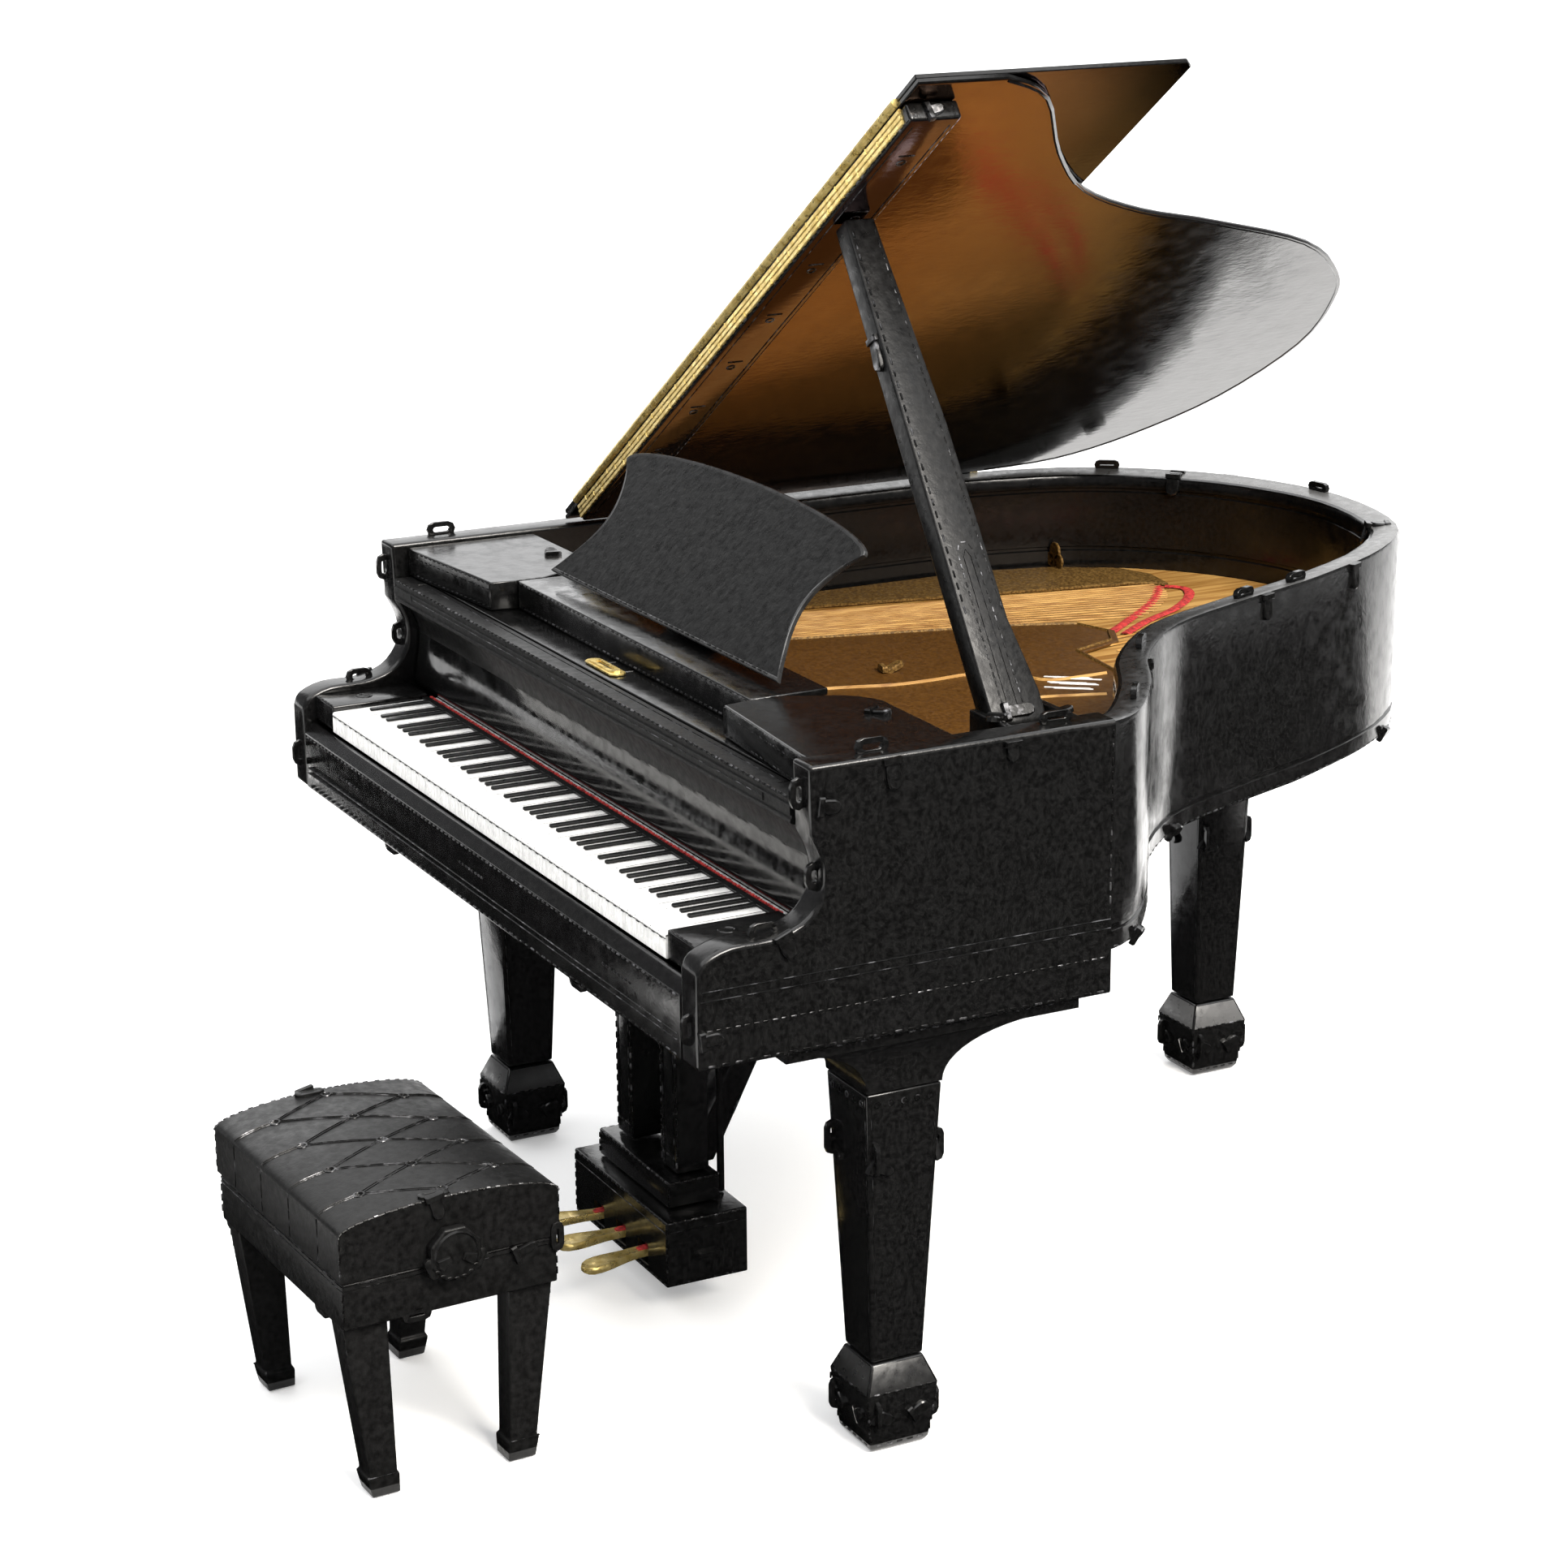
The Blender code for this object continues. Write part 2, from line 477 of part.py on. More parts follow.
def build():
    for old in list(bpy.data.objects):
        bpy.data.objects.remove(old)
    tail = max(y for _, y in smooth_curve(BENTSIDE))
    hx, hy = BENCH_HALF
    front = BENCH_CENTRE[1] - hy * math.cos(BENCH_YAW) - hx * math.sin(BENCH_YAW)
    root = bpy.data.objects.new("GRAND_PIANO", None)
    bpy.context.collection.objects.link(root)
    root.scale = (MM, MM, MM)
    root.location = (MM * HINGE_OUT / 2, -MM * (tail + front) / 2, 0)
    for pieces in (case_pieces, deck_pieces, key_pieces, fallboard_pieces, shelf_pieces, desk_pieces,
                   lid_pieces, prop_pieces, leg_pieces, lyre_pieces, bench_pieces):
        pieces(root)


build()
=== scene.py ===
"""Looks of the miniature grand piano and its bench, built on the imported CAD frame.

Shapes are drawn in millimetres: x to the treble side, y from the front of the arms towards the tail,
z up from the floor. CASE turns them into the frame's metres; LID, PROP, DESK, FALL and BENCH are the
same millimetres in the frames of the pieces that lean or turn.
"""

import json
import random
from math import copysign, cos, pi, radians, sin, sqrt

import bmesh
import bpy
from mathutils import Matrix, Vector


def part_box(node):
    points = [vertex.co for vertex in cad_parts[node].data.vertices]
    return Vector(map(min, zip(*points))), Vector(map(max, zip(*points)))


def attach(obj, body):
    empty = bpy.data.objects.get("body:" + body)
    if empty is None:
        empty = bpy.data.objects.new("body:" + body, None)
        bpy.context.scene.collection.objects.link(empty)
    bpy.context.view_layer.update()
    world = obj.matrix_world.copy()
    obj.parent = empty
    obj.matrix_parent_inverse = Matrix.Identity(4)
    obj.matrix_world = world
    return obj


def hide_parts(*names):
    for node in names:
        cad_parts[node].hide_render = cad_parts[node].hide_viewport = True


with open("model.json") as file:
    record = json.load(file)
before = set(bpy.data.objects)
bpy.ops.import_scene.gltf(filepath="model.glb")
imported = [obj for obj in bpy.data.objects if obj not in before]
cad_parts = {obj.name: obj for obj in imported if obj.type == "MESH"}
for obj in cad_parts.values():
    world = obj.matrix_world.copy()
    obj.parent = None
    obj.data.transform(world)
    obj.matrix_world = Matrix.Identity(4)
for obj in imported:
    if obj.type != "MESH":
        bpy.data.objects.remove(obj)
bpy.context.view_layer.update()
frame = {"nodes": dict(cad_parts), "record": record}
RECORD = frame["record"]
BODY = {node: body for body, nodes in RECORD["behaviour"]["bodies"].items() for node in nodes}
SLOT = {part["node"]: part["material_slot"] for part in RECORD["subparts"]}

MM = 0.001
HALF_WIDTH = 35.0
X, Y, Z = Vector((1, 0, 0)), Vector((0, 1, 0)), Vector((0, 0, 1))
ORIGIN = Vector((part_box("side_panel_right")[1].x - HALF_WIDTH * MM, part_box("keyslip")[0].y, 0))
CASE = Matrix.Translation(ORIGIN) @ Matrix.Scale(MM, 4)


def leaning(at, degrees, axis):
    """The frame of a piece that turns about a point of the case."""
    return CASE @ Matrix.Translation(at) @ Matrix.Rotation(radians(degrees), 4, axis)


LID = leaning((-35, 0, 48.1), -34.3, "Y")
PROP = leaning((28.55, 0, 46.6), -33.6, "Y")
DESK = leaning((0, 14.2, 47.85), -39.6, "X")
FALL = leaning((0, 9.35, 37.05), 0, "X")
BENCH = leaning((12.4, -11.8, 0), 2.67, "Z")

SIDES = (("left", -1), ("right", 1))
FINE, MIDDLE, LONG = (0.72, 0.46), (0.82, 0.5), (0.82, 0.52)
COARSE, SHORT = (0.9, 0.55), (0.6, 0.4)


# ---- materials

def coordinates(tree, stretch=(1, 1, 1), turn=0.0):
    """The object's own coordinates in metres, stretched and turned."""
    source = tree.nodes.new("ShaderNodeTexCoord")
    mapping = tree.nodes.new("ShaderNodeMapping")
    mapping.inputs["Scale"].default_value = stretch
    mapping.inputs["Rotation"].default_value = (0, 0, turn)
    tree.links.new(source.outputs["Object"], mapping.inputs["Vector"])
    return mapping.outputs["Vector"]


def noise(tree, size_mm, detail, stretch=(1, 1, 1), turn=0.0):
    """Noise whose lumps are about size_mm across."""
    node = tree.nodes.new("ShaderNodeTexNoise")
    node.inputs["Scale"].default_value = 1 / (size_mm * MM)
    node.inputs["Detail"].default_value = detail
    tree.links.new(coordinates(tree, stretch, turn), node.inputs["Vector"])
    return node.outputs["Fac"]


def ramp(tree, source, low, high, start=0.35, end=0.65):
    """A colour or grey that runs from low to high as the source goes from start to end."""
    node = tree.nodes.new("ShaderNodeValToRGB")
    stops = node.color_ramp.elements
    for stop, place, value in ((stops[0], start, low), (stops[1], end, high)):
        stop.position = place
        stop.color = (*value, 1) if hasattr(value, "__len__") else (value, value, value, 1)
    tree.links.new(source, node.inputs["Fac"])
    return node.outputs["Color"]


def mottle(size_mm, detail, low, high, *span, **grain):
    """Patches that run from low to high: a function of the node tree."""
    return lambda tree: ramp(tree, noise(tree, size_mm, detail, **grain), low, high, *span)


def tailward(start, end, low, high):
    """A colour that runs from low to high between two distances from the front of the case, in mm."""
    def build(tree):
        place = tree.nodes.new("ShaderNodeSeparateXYZ")
        tree.links.new(coordinates(tree), place.inputs["Vector"])
        share = tree.nodes.new("ShaderNodeMapRange")
        share.inputs["From Min"].default_value = ORIGIN.y + start * MM
        share.inputs["From Max"].default_value = ORIGIN.y + end * MM
        tree.links.new(place.outputs["Y"], share.inputs["Value"])
        return ramp(tree, share.outputs["Result"], low, high, 0, 1)
    return build


def bump(tree, layers):
    """Bump from layers of (lump size in mm, detail, depth in mm, stretch, turn), chained."""
    last = None
    for size_mm, detail, depth_mm, *grain in layers:
        node = tree.nodes.new("ShaderNodeBump")
        node.inputs["Strength"].default_value = 1.0
        node.inputs["Distance"].default_value = depth_mm * MM
        tree.links.new(noise(tree, size_mm, detail, *grain), node.inputs["Height"])
        if last:
            tree.links.new(last, node.inputs["Normal"])
        last = node.outputs["Normal"]
    return last


def finish_material(name, colour, roughness, bumps, **sockets):
    """A Principled material; colour and roughness are functions of the node tree."""
    material = bpy.data.materials.new(name)
    material.use_nodes = True
    tree = material.node_tree
    shader = tree.nodes["Principled BSDF"]
    for socket, value in sockets.items():
        shader.inputs[socket.replace("_", " ")].default_value = value
    tree.links.new(colour(tree), shader.inputs["Base Color"])
    tree.links.new(roughness(tree), shader.inputs["Roughness"])
    tree.links.new(bump(tree, bumps), shader.inputs["Normal"])
    return material


def black_lacquer():
    return finish_material(
        "black_lacquer", mottle(0.3, 4, 0.002, 0.006), mottle(1.2, 4, 0.12, 0.26),
        [(0.5, 3, 0.010), (0.18, 2, 0.003), (3.5, 2, 0.005)],
        IOR=1.5, Specular_IOR_Level=0.4)


def gloss_lacquer():
    """The wetter lacquer of the fallboard, which mirrors the keys."""
    return finish_material(
        "gloss_lacquer", mottle(6, 2, 0.002, 0.005), mottle(1.0, 4, 0.07, 0.16),
        [(0.35, 3, 0.0032, (0.5, 1, 1)), (0.16, 2, 0.001)],
        IOR=1.5, Specular_IOR_Level=0.42)


def painted_highlight_edge():
    """Flat edges such as the top of the wall: glossy lacquer with a painted highlight, its colour painted
    paler towards the tail.
    """
    return finish_material(
        "painted_highlight_edge", tailward(46, 74, 0.01, 0.09), mottle(0.6, 4, 0.26, 0.44),
        [(0.3, 3, 0.01)],
        IOR=1.5, Specular_IOR_Level=1.0)


def satin_black():
    return finish_material(
        "satin_black", mottle(0.5, 4, 0.003, 0.008), mottle(0.7, 4, 0.26, 0.42),
        [(0.5, 3, 0.028), (0.18, 2, 0.006)],
        IOR=1.5, Specular_IOR_Level=0.22)


def grained_black():
    """The bench's lacquer: a fine sandy grain with almost no gloss."""
    return finish_material(
        "grained_black", mottle(0.4, 4, 0.002, 0.006), mottle(0.6, 4, 0.34, 0.48),
        [(0.26, 3, 0.012), (0.12, 2, 0.004)],
        IOR=1.5, Specular_IOR_Level=0.25)


def worn_fold():
    """Black lacquer rubbed through to the steel in short stretches, as on the perforated folds."""
    return finish_material(
        "worn_fold", mottle(0.9, 4, 0.010, (0.20, 0.20, 0.21), 0.52, 0.72), mottle(0.5, 3, 0.22, 0.42),
        [(0.2, 3, 0.008)],
        Metallic=0.8)


def lid_painted_reflection():
    """The underside of the lid: a lacquer mirror with a painted reflection of the deck, a copper cast painted
    in that clears towards the tail.
    """
    return finish_material(
        "lid_underside_painted_reflection", tailward(30, 54, (0.34, 0.20, 0.125), (0.07, 0.07, 0.07)),
        mottle(1.6, 4, 0.10, 0.17),
        [(0.45, 3, 0.010, (1, 0.5, 1)), (0.18, 2, 0.002), (9, 2, 0.04)],
        Metallic=1.0)


def flap_painted_reflection():
    """The underside of the flap: the same lacquer mirror, darker, with a painted reflection: a warm cast that
    fades to black towards the tail.
    """
    return finish_material(
        "flap_underside_painted_reflection", tailward(32, 41, (0.22, 0.15, 0.16), (0.02, 0.015, 0.015)),
        mottle(1.6, 4, 0.06, 0.12),
        [(0.45, 3, 0.006, (1, 0.5, 1)), (0.18, 2, 0.0015)],
        Metallic=1.0)


def gold():
    return finish_material(
        "gold", mottle(0.7, 4, (0.62, 0.44, 0.12), (0.86, 0.68, 0.28)), mottle(0.5, 3, 0.22, 0.42),
        [(0.22, 2, 0.006, (0.2, 1, 1)), (0.5, 3, 0.008)],
        Metallic=0.8)


def bronze_plate():
    return finish_material(
        "bronze_plate", mottle(0.2, 4, (0.07, 0.035, 0.007), (0.30, 0.175, 0.05), 0.40, 0.76),
        mottle(0.3, 3, 0.45, 0.60), [(0.2, 2, 0.008)],
        Metallic=0.2, Specular_IOR_Level=0.2)


def copper_plate():
    """The front of the plate: the same bronze lacquer, smooth and redder."""
    return finish_material(
        "copper_plate", mottle(0.25, 4, (0.065, 0.026, 0.004), (0.12, 0.052, 0.009)),
        mottle(0.8, 3, 0.40, 0.52), [(0.25, 3, 0.005), (4, 2, 0.02)],
        Metallic=0.2, Specular_IOR_Level=0.3)


def printed_wood():
    """Wood grain printed on the sheet, its streaks turned along the strings."""
    turn = -0.24
    return finish_material(
        "printed_wood",
        mottle(0.5, 5, (0.24, 0.11, 0.022), (0.48, 0.28, 0.085), stretch=(1, 0.05, 1), turn=turn),
        mottle(1.5, 3, 0.46, 0.6), [(0.35, 2, 0.006, (1, 0.1, 1), turn)],
        Specular_IOR_Level=0.2)


def white_enamel():
    return finish_material(
        "white_enamel",
        mottle(0.25, 3, (0.70, 0.70, 0.69), (0.86, 0.86, 0.85), stretch=(1, 0.1, 0.15)),
        mottle(0.8, 3, 0.22, 0.36), [(0.3, 2, 0.008, (1, 0.15, 0.15))])


def red_enamel():
    return finish_material(
        "red_enamel", mottle(0.3, 4, (0.20, 0.007, 0.008), (0.62, 0.04, 0.035)),
        mottle(0.4, 3, 0.6, 0.85), [(0.15, 3, 0.02)])


MATERIALS = {make.__name__: make() for make in (black_lacquer, satin_black, gold, bronze_plate,
                                                printed_wood, white_enamel, red_enamel)}
# The lid's underside: a mirror with a painted reflection of the deck, a copper cast painted in.
LID_PAINTED_REFLECTION = lid_painted_reflection()
# The flap's underside: a mirror with a painted reflection, a warm cast painted in.
FLAP_PAINTED_REFLECTION = flap_painted_reflection()
COPPER_PLATE = copper_plate()
# The edge material: glossy lacquer with a painted highlight, paler towards the tail.
PAINTED_HIGHLIGHT_EDGE = painted_highlight_edge()
GLOSS_LACQUER = gloss_lacquer()
GRAINED_BLACK = grained_black()
WORN_FOLD = worn_fold()


# ---- shapes

def spot(at, normal, along):
    """A frame at a point: z along the normal, x as near to along as it can be."""
    z = Vector(normal).normalized()
    x = Vector(along)
    x = (x - z * x.dot(z)).normalized()
    matrix = Matrix((x, z.cross(x), z)).transposed().to_4x4()
    matrix.translation = Vector(at)
    return matrix


def line(x, y, z):
    """The two ends of a straight line: a coordinate given as a pair runs from one to the other."""
    return list(zip(*(value if isinstance(value, tuple) else (value, value) for value in (x, y, z))))


def pill(length, width, steps=4):
    """An outline with round ends, lying along x."""
    straight, radius = (length - width) / 2, width / 2
    points = []
    for end in (1, -1):
        for i in range(steps):
            turn = pi * (i / (steps - 1) - 0.5)
            points.append((end * (straight + radius * cos(turn)), end * radius * sin(turn)))
    return points


def smooth_curve(points, steps=4):
    """Points on a Catmull-Rom curve through the given ones."""
    ends = [points[0]] + list(points) + [points[-1]]
    curve = []
    for a, b, c, d in zip(ends, ends[1:], ends[2:], ends[3:]):
        for step in range(steps):
            t = step / steps
            curve.append(tuple(0.5 * (2 * q + (r - p) * t + (2 * p - 5 * q + 4 * r - s) * t * t
                                      + (3 * q - p - 3 * r + s) * t ** 3)
                               for p, q, r, s in zip(a, b, c, d)))
    curve.append(tuple(points[-1]))
    return curve


ROUND = [pi * i / 5 for i in range(10)]
DASH_WIDTH, DASH_HEIGHT = 0.85, 0.65
TAB_ROOT = [(-0.2, -0.62), (0.2, -0.62), (0.2, 0.62), (-0.2, 0.62)]


class Kit:
    """Shapes gathered in one frame's millimetres, then made into one piece."""

    def __init__(self, place=CASE):
        self.place = place
        self.bm = bmesh.new()

    def loft(self, rings, closed=False):
        """Skins a row of rings. closed joins the last ring to the first and leaves out the caps."""
        loops = [[self.bm.verts.new(point) for point in ring] for ring in rings]
        pairs = list(zip(loops, loops[1:]))
        if closed:
            pairs.append((loops[-1], loops[0]))
        for low, high in pairs:
            for i in range(len(low)):
                self.bm.faces.new((low[i - 1], low[i], high[i], high[i - 1]))
        if not closed:
            self.bm.faces.new(loops[0])
            self.bm.faces.new(loops[-1])

    def accent(self, test):
        """Gives the second material to the faces that pass a test."""
        for face in self.bm.faces:
            face.material_index = int(test(face))

    def plate(self, where, outline, levels):
        """Lofts an outline through levels of (height, shrink in mm), measured in from its edge."""
        centre = Vector((sum(x for x, _ in outline), sum(y for _, y in outline))) / len(outline)
        rings = []
        for height, shrink in levels:
            ring = []
            for x, y in outline:
                away = Vector((x, y)) - centre
                point = centre + away * max(0.0, 1 - shrink / max(away.length, 1e-6))
                ring.append(where @ Vector((point.x, point.y, height)))
            rings.append(ring)
        self.loft(rings)

    def dash(self, where, length=0.5, width=0.15, height=0.05):
        """A short raised bar, a little slimmer and lower than the slot that holds it."""
        width, height = width * DASH_WIDTH, height * DASH_HEIGHT
        rings = []
        for level, narrow in ((-0.08, 1.0), (height * 0.5, 1.0), (height, 0.55)):
            rings.append([where @ Vector((x, y, level)) for x, y in pill(length - width * (1 - narrow),
                                                                         width * narrow)])
        self.loft(rings)

    def dashes(self, start, end, normal, pitch=0.82, length=0.5, width=0.13, height=0.03):
        """A perforated fold: a row of short raised bars from start to end."""
        start, end = Vector(start), Vector(end)
        count = max(1, round((end - start).length / pitch))
        for i in range(count):
            at = start.lerp(end, (i + 0.5) / count)
            self.dash(spot(at, normal, end - start), length, width, height)

    def ridge(self, points, normal, width=0.12, height=0.05):
        """An etched line: a low three-sided strip along a row of points."""
        points = [Vector(p) for p in points]
        n = Vector(normal).normalized()
        rings = []
        for i, point in enumerate(points):
            along = (points[min(i + 1, len(points) - 1)] - points[max(i - 1, 0)]).normalized()
            side = n.cross(along) * width / 2
            rings.append([point - side - n * 0.06, point + n * height, point + side - n * 0.06])
        self.loft(rings)

    def loop(self, at, normal, along, length=2.3, rise=1.25, thick=0.3):
        """A tab's slot seen from the side: a small oval ring standing on the surface."""
        normal, along = Vector(normal).normalized(), Vector(along).normalized()
        where = spot(Vector(at) + normal * rise * 0.12, normal.cross(along), along)
        outer, inner = pill(length, rise, 5), pill(length - 0.95, rise - 0.74, 5)
        bevel = 0.06
        section = [(0, -0.5 + bevel), (0, 0.5 - bevel), (bevel, 0.5), (1 - bevel, 0.5), (1, 0.5 - bevel),
                   (1, -0.5 + bevel), (1 - bevel, -0.5), (bevel, -0.5)]
        rings = []
        for (x0, y0), (x1, y1) in zip(outer, inner):
            rings.append([where @ Vector((x0 + (x1 - x0) * s, y0 + (y1 - y0) * s, thick * h))
                          for s, h in section])
        self.loft(rings, closed=True)

    def tab(self, at, normal, along, length=1.5, width=0.95, tilt=8.0, twist=10.0):
        """A bent-over tab: a small rounded leaf, tilted off the surface, with its slot beside it."""
        where = spot(at, normal, along) @ Matrix.Rotation(radians(twist), 4, "Z")
        leaf = where @ Matrix.Rotation(radians(-tilt), 4, "Y")
        self.plate(leaf, pill(length, width, 5), [(-0.1, 0), (0.18, 0), (0.27, 0.1)])
        root = where @ Matrix.Translation((-length * 0.42, 0, 0))
        self.plate(root, TAB_ROOT, [(-0.1, 0), (0.22, 0), (0.32, 0.1)])

    def eyelet(self, at, normal, radius=0.24):
        """A round perforation: a raised rim round a dimple."""
        where = spot(at, normal, X if abs(Vector(normal).x) < 0.9 else Y)
        rings = []
        for size, height in ((1.25, -0.05), (1.1, 0.05), (0.8, 0.05), (0.6, -0.04)):
            rings.append([where @ Vector((radius * size * cos(a), radius * size * sin(a), height))
                          for a in ROUND])
        self.loft(rings)

    def folds(self, name, body="case"):
        """The folds and tabs of a piece: lacquered, and worn where they stand proud."""
        return self.piece(name, body, "black_lacquer", materials=[WORN_FOLD])

    def piece(self, name, body="case", slot="black_lacquer", replaces=(), crease=35, materials=None):
        """Turns the gathered shapes into one object that rides on a body."""
        bmesh.ops.recalc_face_normals(self.bm, faces=self.bm.faces)
        mesh = bpy.data.meshes.new(name)
        self.bm.to_mesh(mesh)
        self.bm.free()
        mesh.transform(self.place)
        return dress(name, mesh, body, slot, replaces, crease, materials)


def dress(name, mesh, body, slot, replaces=(), crease=35, materials=None):
    """Gives a finished mesh its smooth shading, its materials and its body; the slot picks the material when
    none are given.
    """
    mesh.shade_smooth()
    mesh.set_sharp_from_angle(angle=radians(crease))
    for face in mesh.polygons:
        face.use_smooth = len(face.vertices) <= 8
    for material in materials or [MATERIALS[slot]]:
        mesh.materials.append(material)
    obj = bpy.data.objects.new(name, mesh)
    bpy.context.scene.collection.objects.link(obj)
    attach(obj, body)
    if replaces:
        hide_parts(*replaces)
    return obj


def cleaned(node):
    """A bmesh of a CAD node with its flat faces whole."""
    bm = bmesh.new()
    bm.from_mesh(frame["nodes"][node].data)
    bmesh.ops.remove_doubles(bm, verts=bm.verts, dist=2e-6)
    bmesh.ops.dissolve_limit(bm, angle_limit=radians(1.5), verts=bm.verts, edges=bm.edges)
    return bm


def skin(node, width=0.16, segments=2, crease=33, butt_y=None, material=None):
    """A folded-sheet version of a CAD node: the same body with rounded folds, but for its end at butt_y."""
    bm = cleaned(node)
    folds = [e for e in bm.edges if e.is_manifold and e.calc_face_angle(0) > radians(crease)]
    if butt_y is not None:
        plane = ORIGIN.y + butt_y * MM
        folds = [e for e in folds if any(abs(v.co.y - plane) > 0.2 * MM for v in e.verts)]
    bmesh.ops.bevel(bm, geom=folds, offset=width * MM, segments=segments, profile=0.6,
                    affect="EDGES", clamp_overlap=True)
    mesh = bpy.data.meshes.new(node + "_sheet")
    bm.to_mesh(mesh)
    bm.free()
    materials = [material] if material else None
    return dress(node + "_sheet", mesh, BODY[node], SLOT[node], [node], crease, materials)


def lowest_outline(node):
    """The corners of a node's lowest flat face in case millimetres, in order."""
    bm = cleaned(node)
    face = min(bm.faces, key=lambda f: (round(f.calc_center_median().z, 5), -f.calc_area()))
    to_case = CASE.inverted()
    points = [to_case @ corner.co for corner in face.verts]
    bm.free()
    return points


# ---- case

def rim_path():
    """The outside of the bent wall, from the treble side round the tail to the spine."""
    points = lowest_outline("bentside_rim")
    start = min(range(len(points)), key=lambda i: (points[i] - Vector((35, 29, 32.7))).length)
    step = 1 if points[(start + 1) % len(points)].y > points[start - 1].y else -1
    path = [points[(start + step * i) % len(points)] for i in range(len(points) // 2)]
    path = [Vector((p.x, p.y)) for p in path]
    path[0].y = path[-1].y = 28.85
    return path


def inward(path, i):
    """The direction from a corner of the path into the case."""
    if i in (0, len(path) - 1):
        return Vector((-1 if path[i].x > 0 else 1, 0))
    along = (path[i + 1] - path[i - 1]).normalized()
    return Vector((-along.y, along.x))


def bent_wall(path):
    """The wall in section: grooves for its folds, and a flat top that slopes inwards."""
    groove, flat_top = 0.16, 47.6
    profile = [(0.3, 32.7), (0.0, 32.95), (0.0, 34.05), (groove, 34.15), (groove, 34.4), (0.0, 34.5),
               (0.0, 47.45), (0.1, 47.7), (0.35, 47.8), (1.95, 47.5), (2.2, 47.4), (2.3, 47.15),
               (2.3, 46.5), (2.3 - groove, 46.4), (2.3 - groove, 46.2), (2.3, 46.1), (2.3, 41.6),
               (2.3 - groove, 41.5), (2.3 - groove, 41.3), (2.3, 41.2), (2.3, 32.8)]
    kit = Kit()
    rings = []
    for i, point in enumerate(path):
        into = inward(path, i)
        rings.append([(point.x + into.x * d, point.y + into.y * d, z) for d, z in profile])
    kit.loft(rings)
    # The flat top gets a painted highlight: its colour is painted paler towards the tail.
    kit.accent(lambda face: face.calc_center_median().z > flat_top and len(face.verts) == 4)
    kit.piece("bent_wall", "case", "black_lacquer", ["bentside_rim"],
              materials=[MATERIALS["black_lacquer"], PAINTED_HIGHLIGHT_EDGE])


def wall_spots(path, places):
    """The wall's corners nearest to some places, each with the outward direction there."""
    for place in places:
        i = min(range(len(path)), key=lambda k: (path[k] - Vector(place)).length)
        yield path[i], -inward(path, i)


def bent_wall_details(path):
    """The dashed fold of the lower flange, and the tabs and loops along the wall."""
    down = (0, 0, -1)
    kit = Kit()
    for i in range(len(path) - 1):
        a, b = path[i], path[i + 1]
        out = -inward(path, i)
        if (b - a).length > 0.4:
            kit.dashes((a.x, a.y, 33.0), (b.x, b.y, 33.0), (out.x, out.y, 0), *COARSE, 0.14, 0.05)
    kit.folds("bent_wall_folds")

    kit = Kit()
    rim_loops = ((-35, 46), (-30.6, 70), (-14.3, 80), (9.5, 61), (12.6, 54), (21, 41), (31, 34))
    for point, out in wall_spots(path, rim_loops):
        centre = point - out * (0.5 if point.x < 20 else 0.9)
        kit.loop((centre.x, centre.y, 47.95), Z, (out.y, -out.x, 0), 2.1, 0.8, 0.4)
    for point, out in wall_spots(path, ((-27.0, 74), (-3.0, 77))):
        edge = point - out * 2.3
        kit.tab((edge.x, edge.y, 46.9), (-out.x, -out.y, 0.2), down, 1.8, 1.1, 8, 0)
        top = edge + out * 0.9
        kit.tab((top.x, top.y, 47.55), Z, (-out.x, -out.y, 0), 1.5, 1.1, 4, 0)
    for point, out in wall_spots(path, ((-24, 76), (7, 67), (11.5, 56.5), (24, 39), (-35, 52), (-34.5, 62))):
        at, normal = Vector((point.x, point.y, 46.7)), Vector((out.x, out.y, 0))
        kit.tab(at, normal, down, 1.9, 0.85, 5, 0)
        across = Vector((-out.y, out.x, 0)) * 0.8
        kit.ridge([at - across + Z * 0.5, at + across + Z * 0.5], normal, 0.25, 0.16)
    for point, out in wall_spots(path, ((33.6, 31.5), (16, 46.5), (3, 73), (-8, 79.5), (-30, 71), (-35, 50))):
        kit.tab((point.x, point.y, 33.0), (out.x, out.y, -0.5), (-out.y, out.x, 0), 1.6, 0.85, 8, 0)
    kit.piece("bent_wall_tabs")


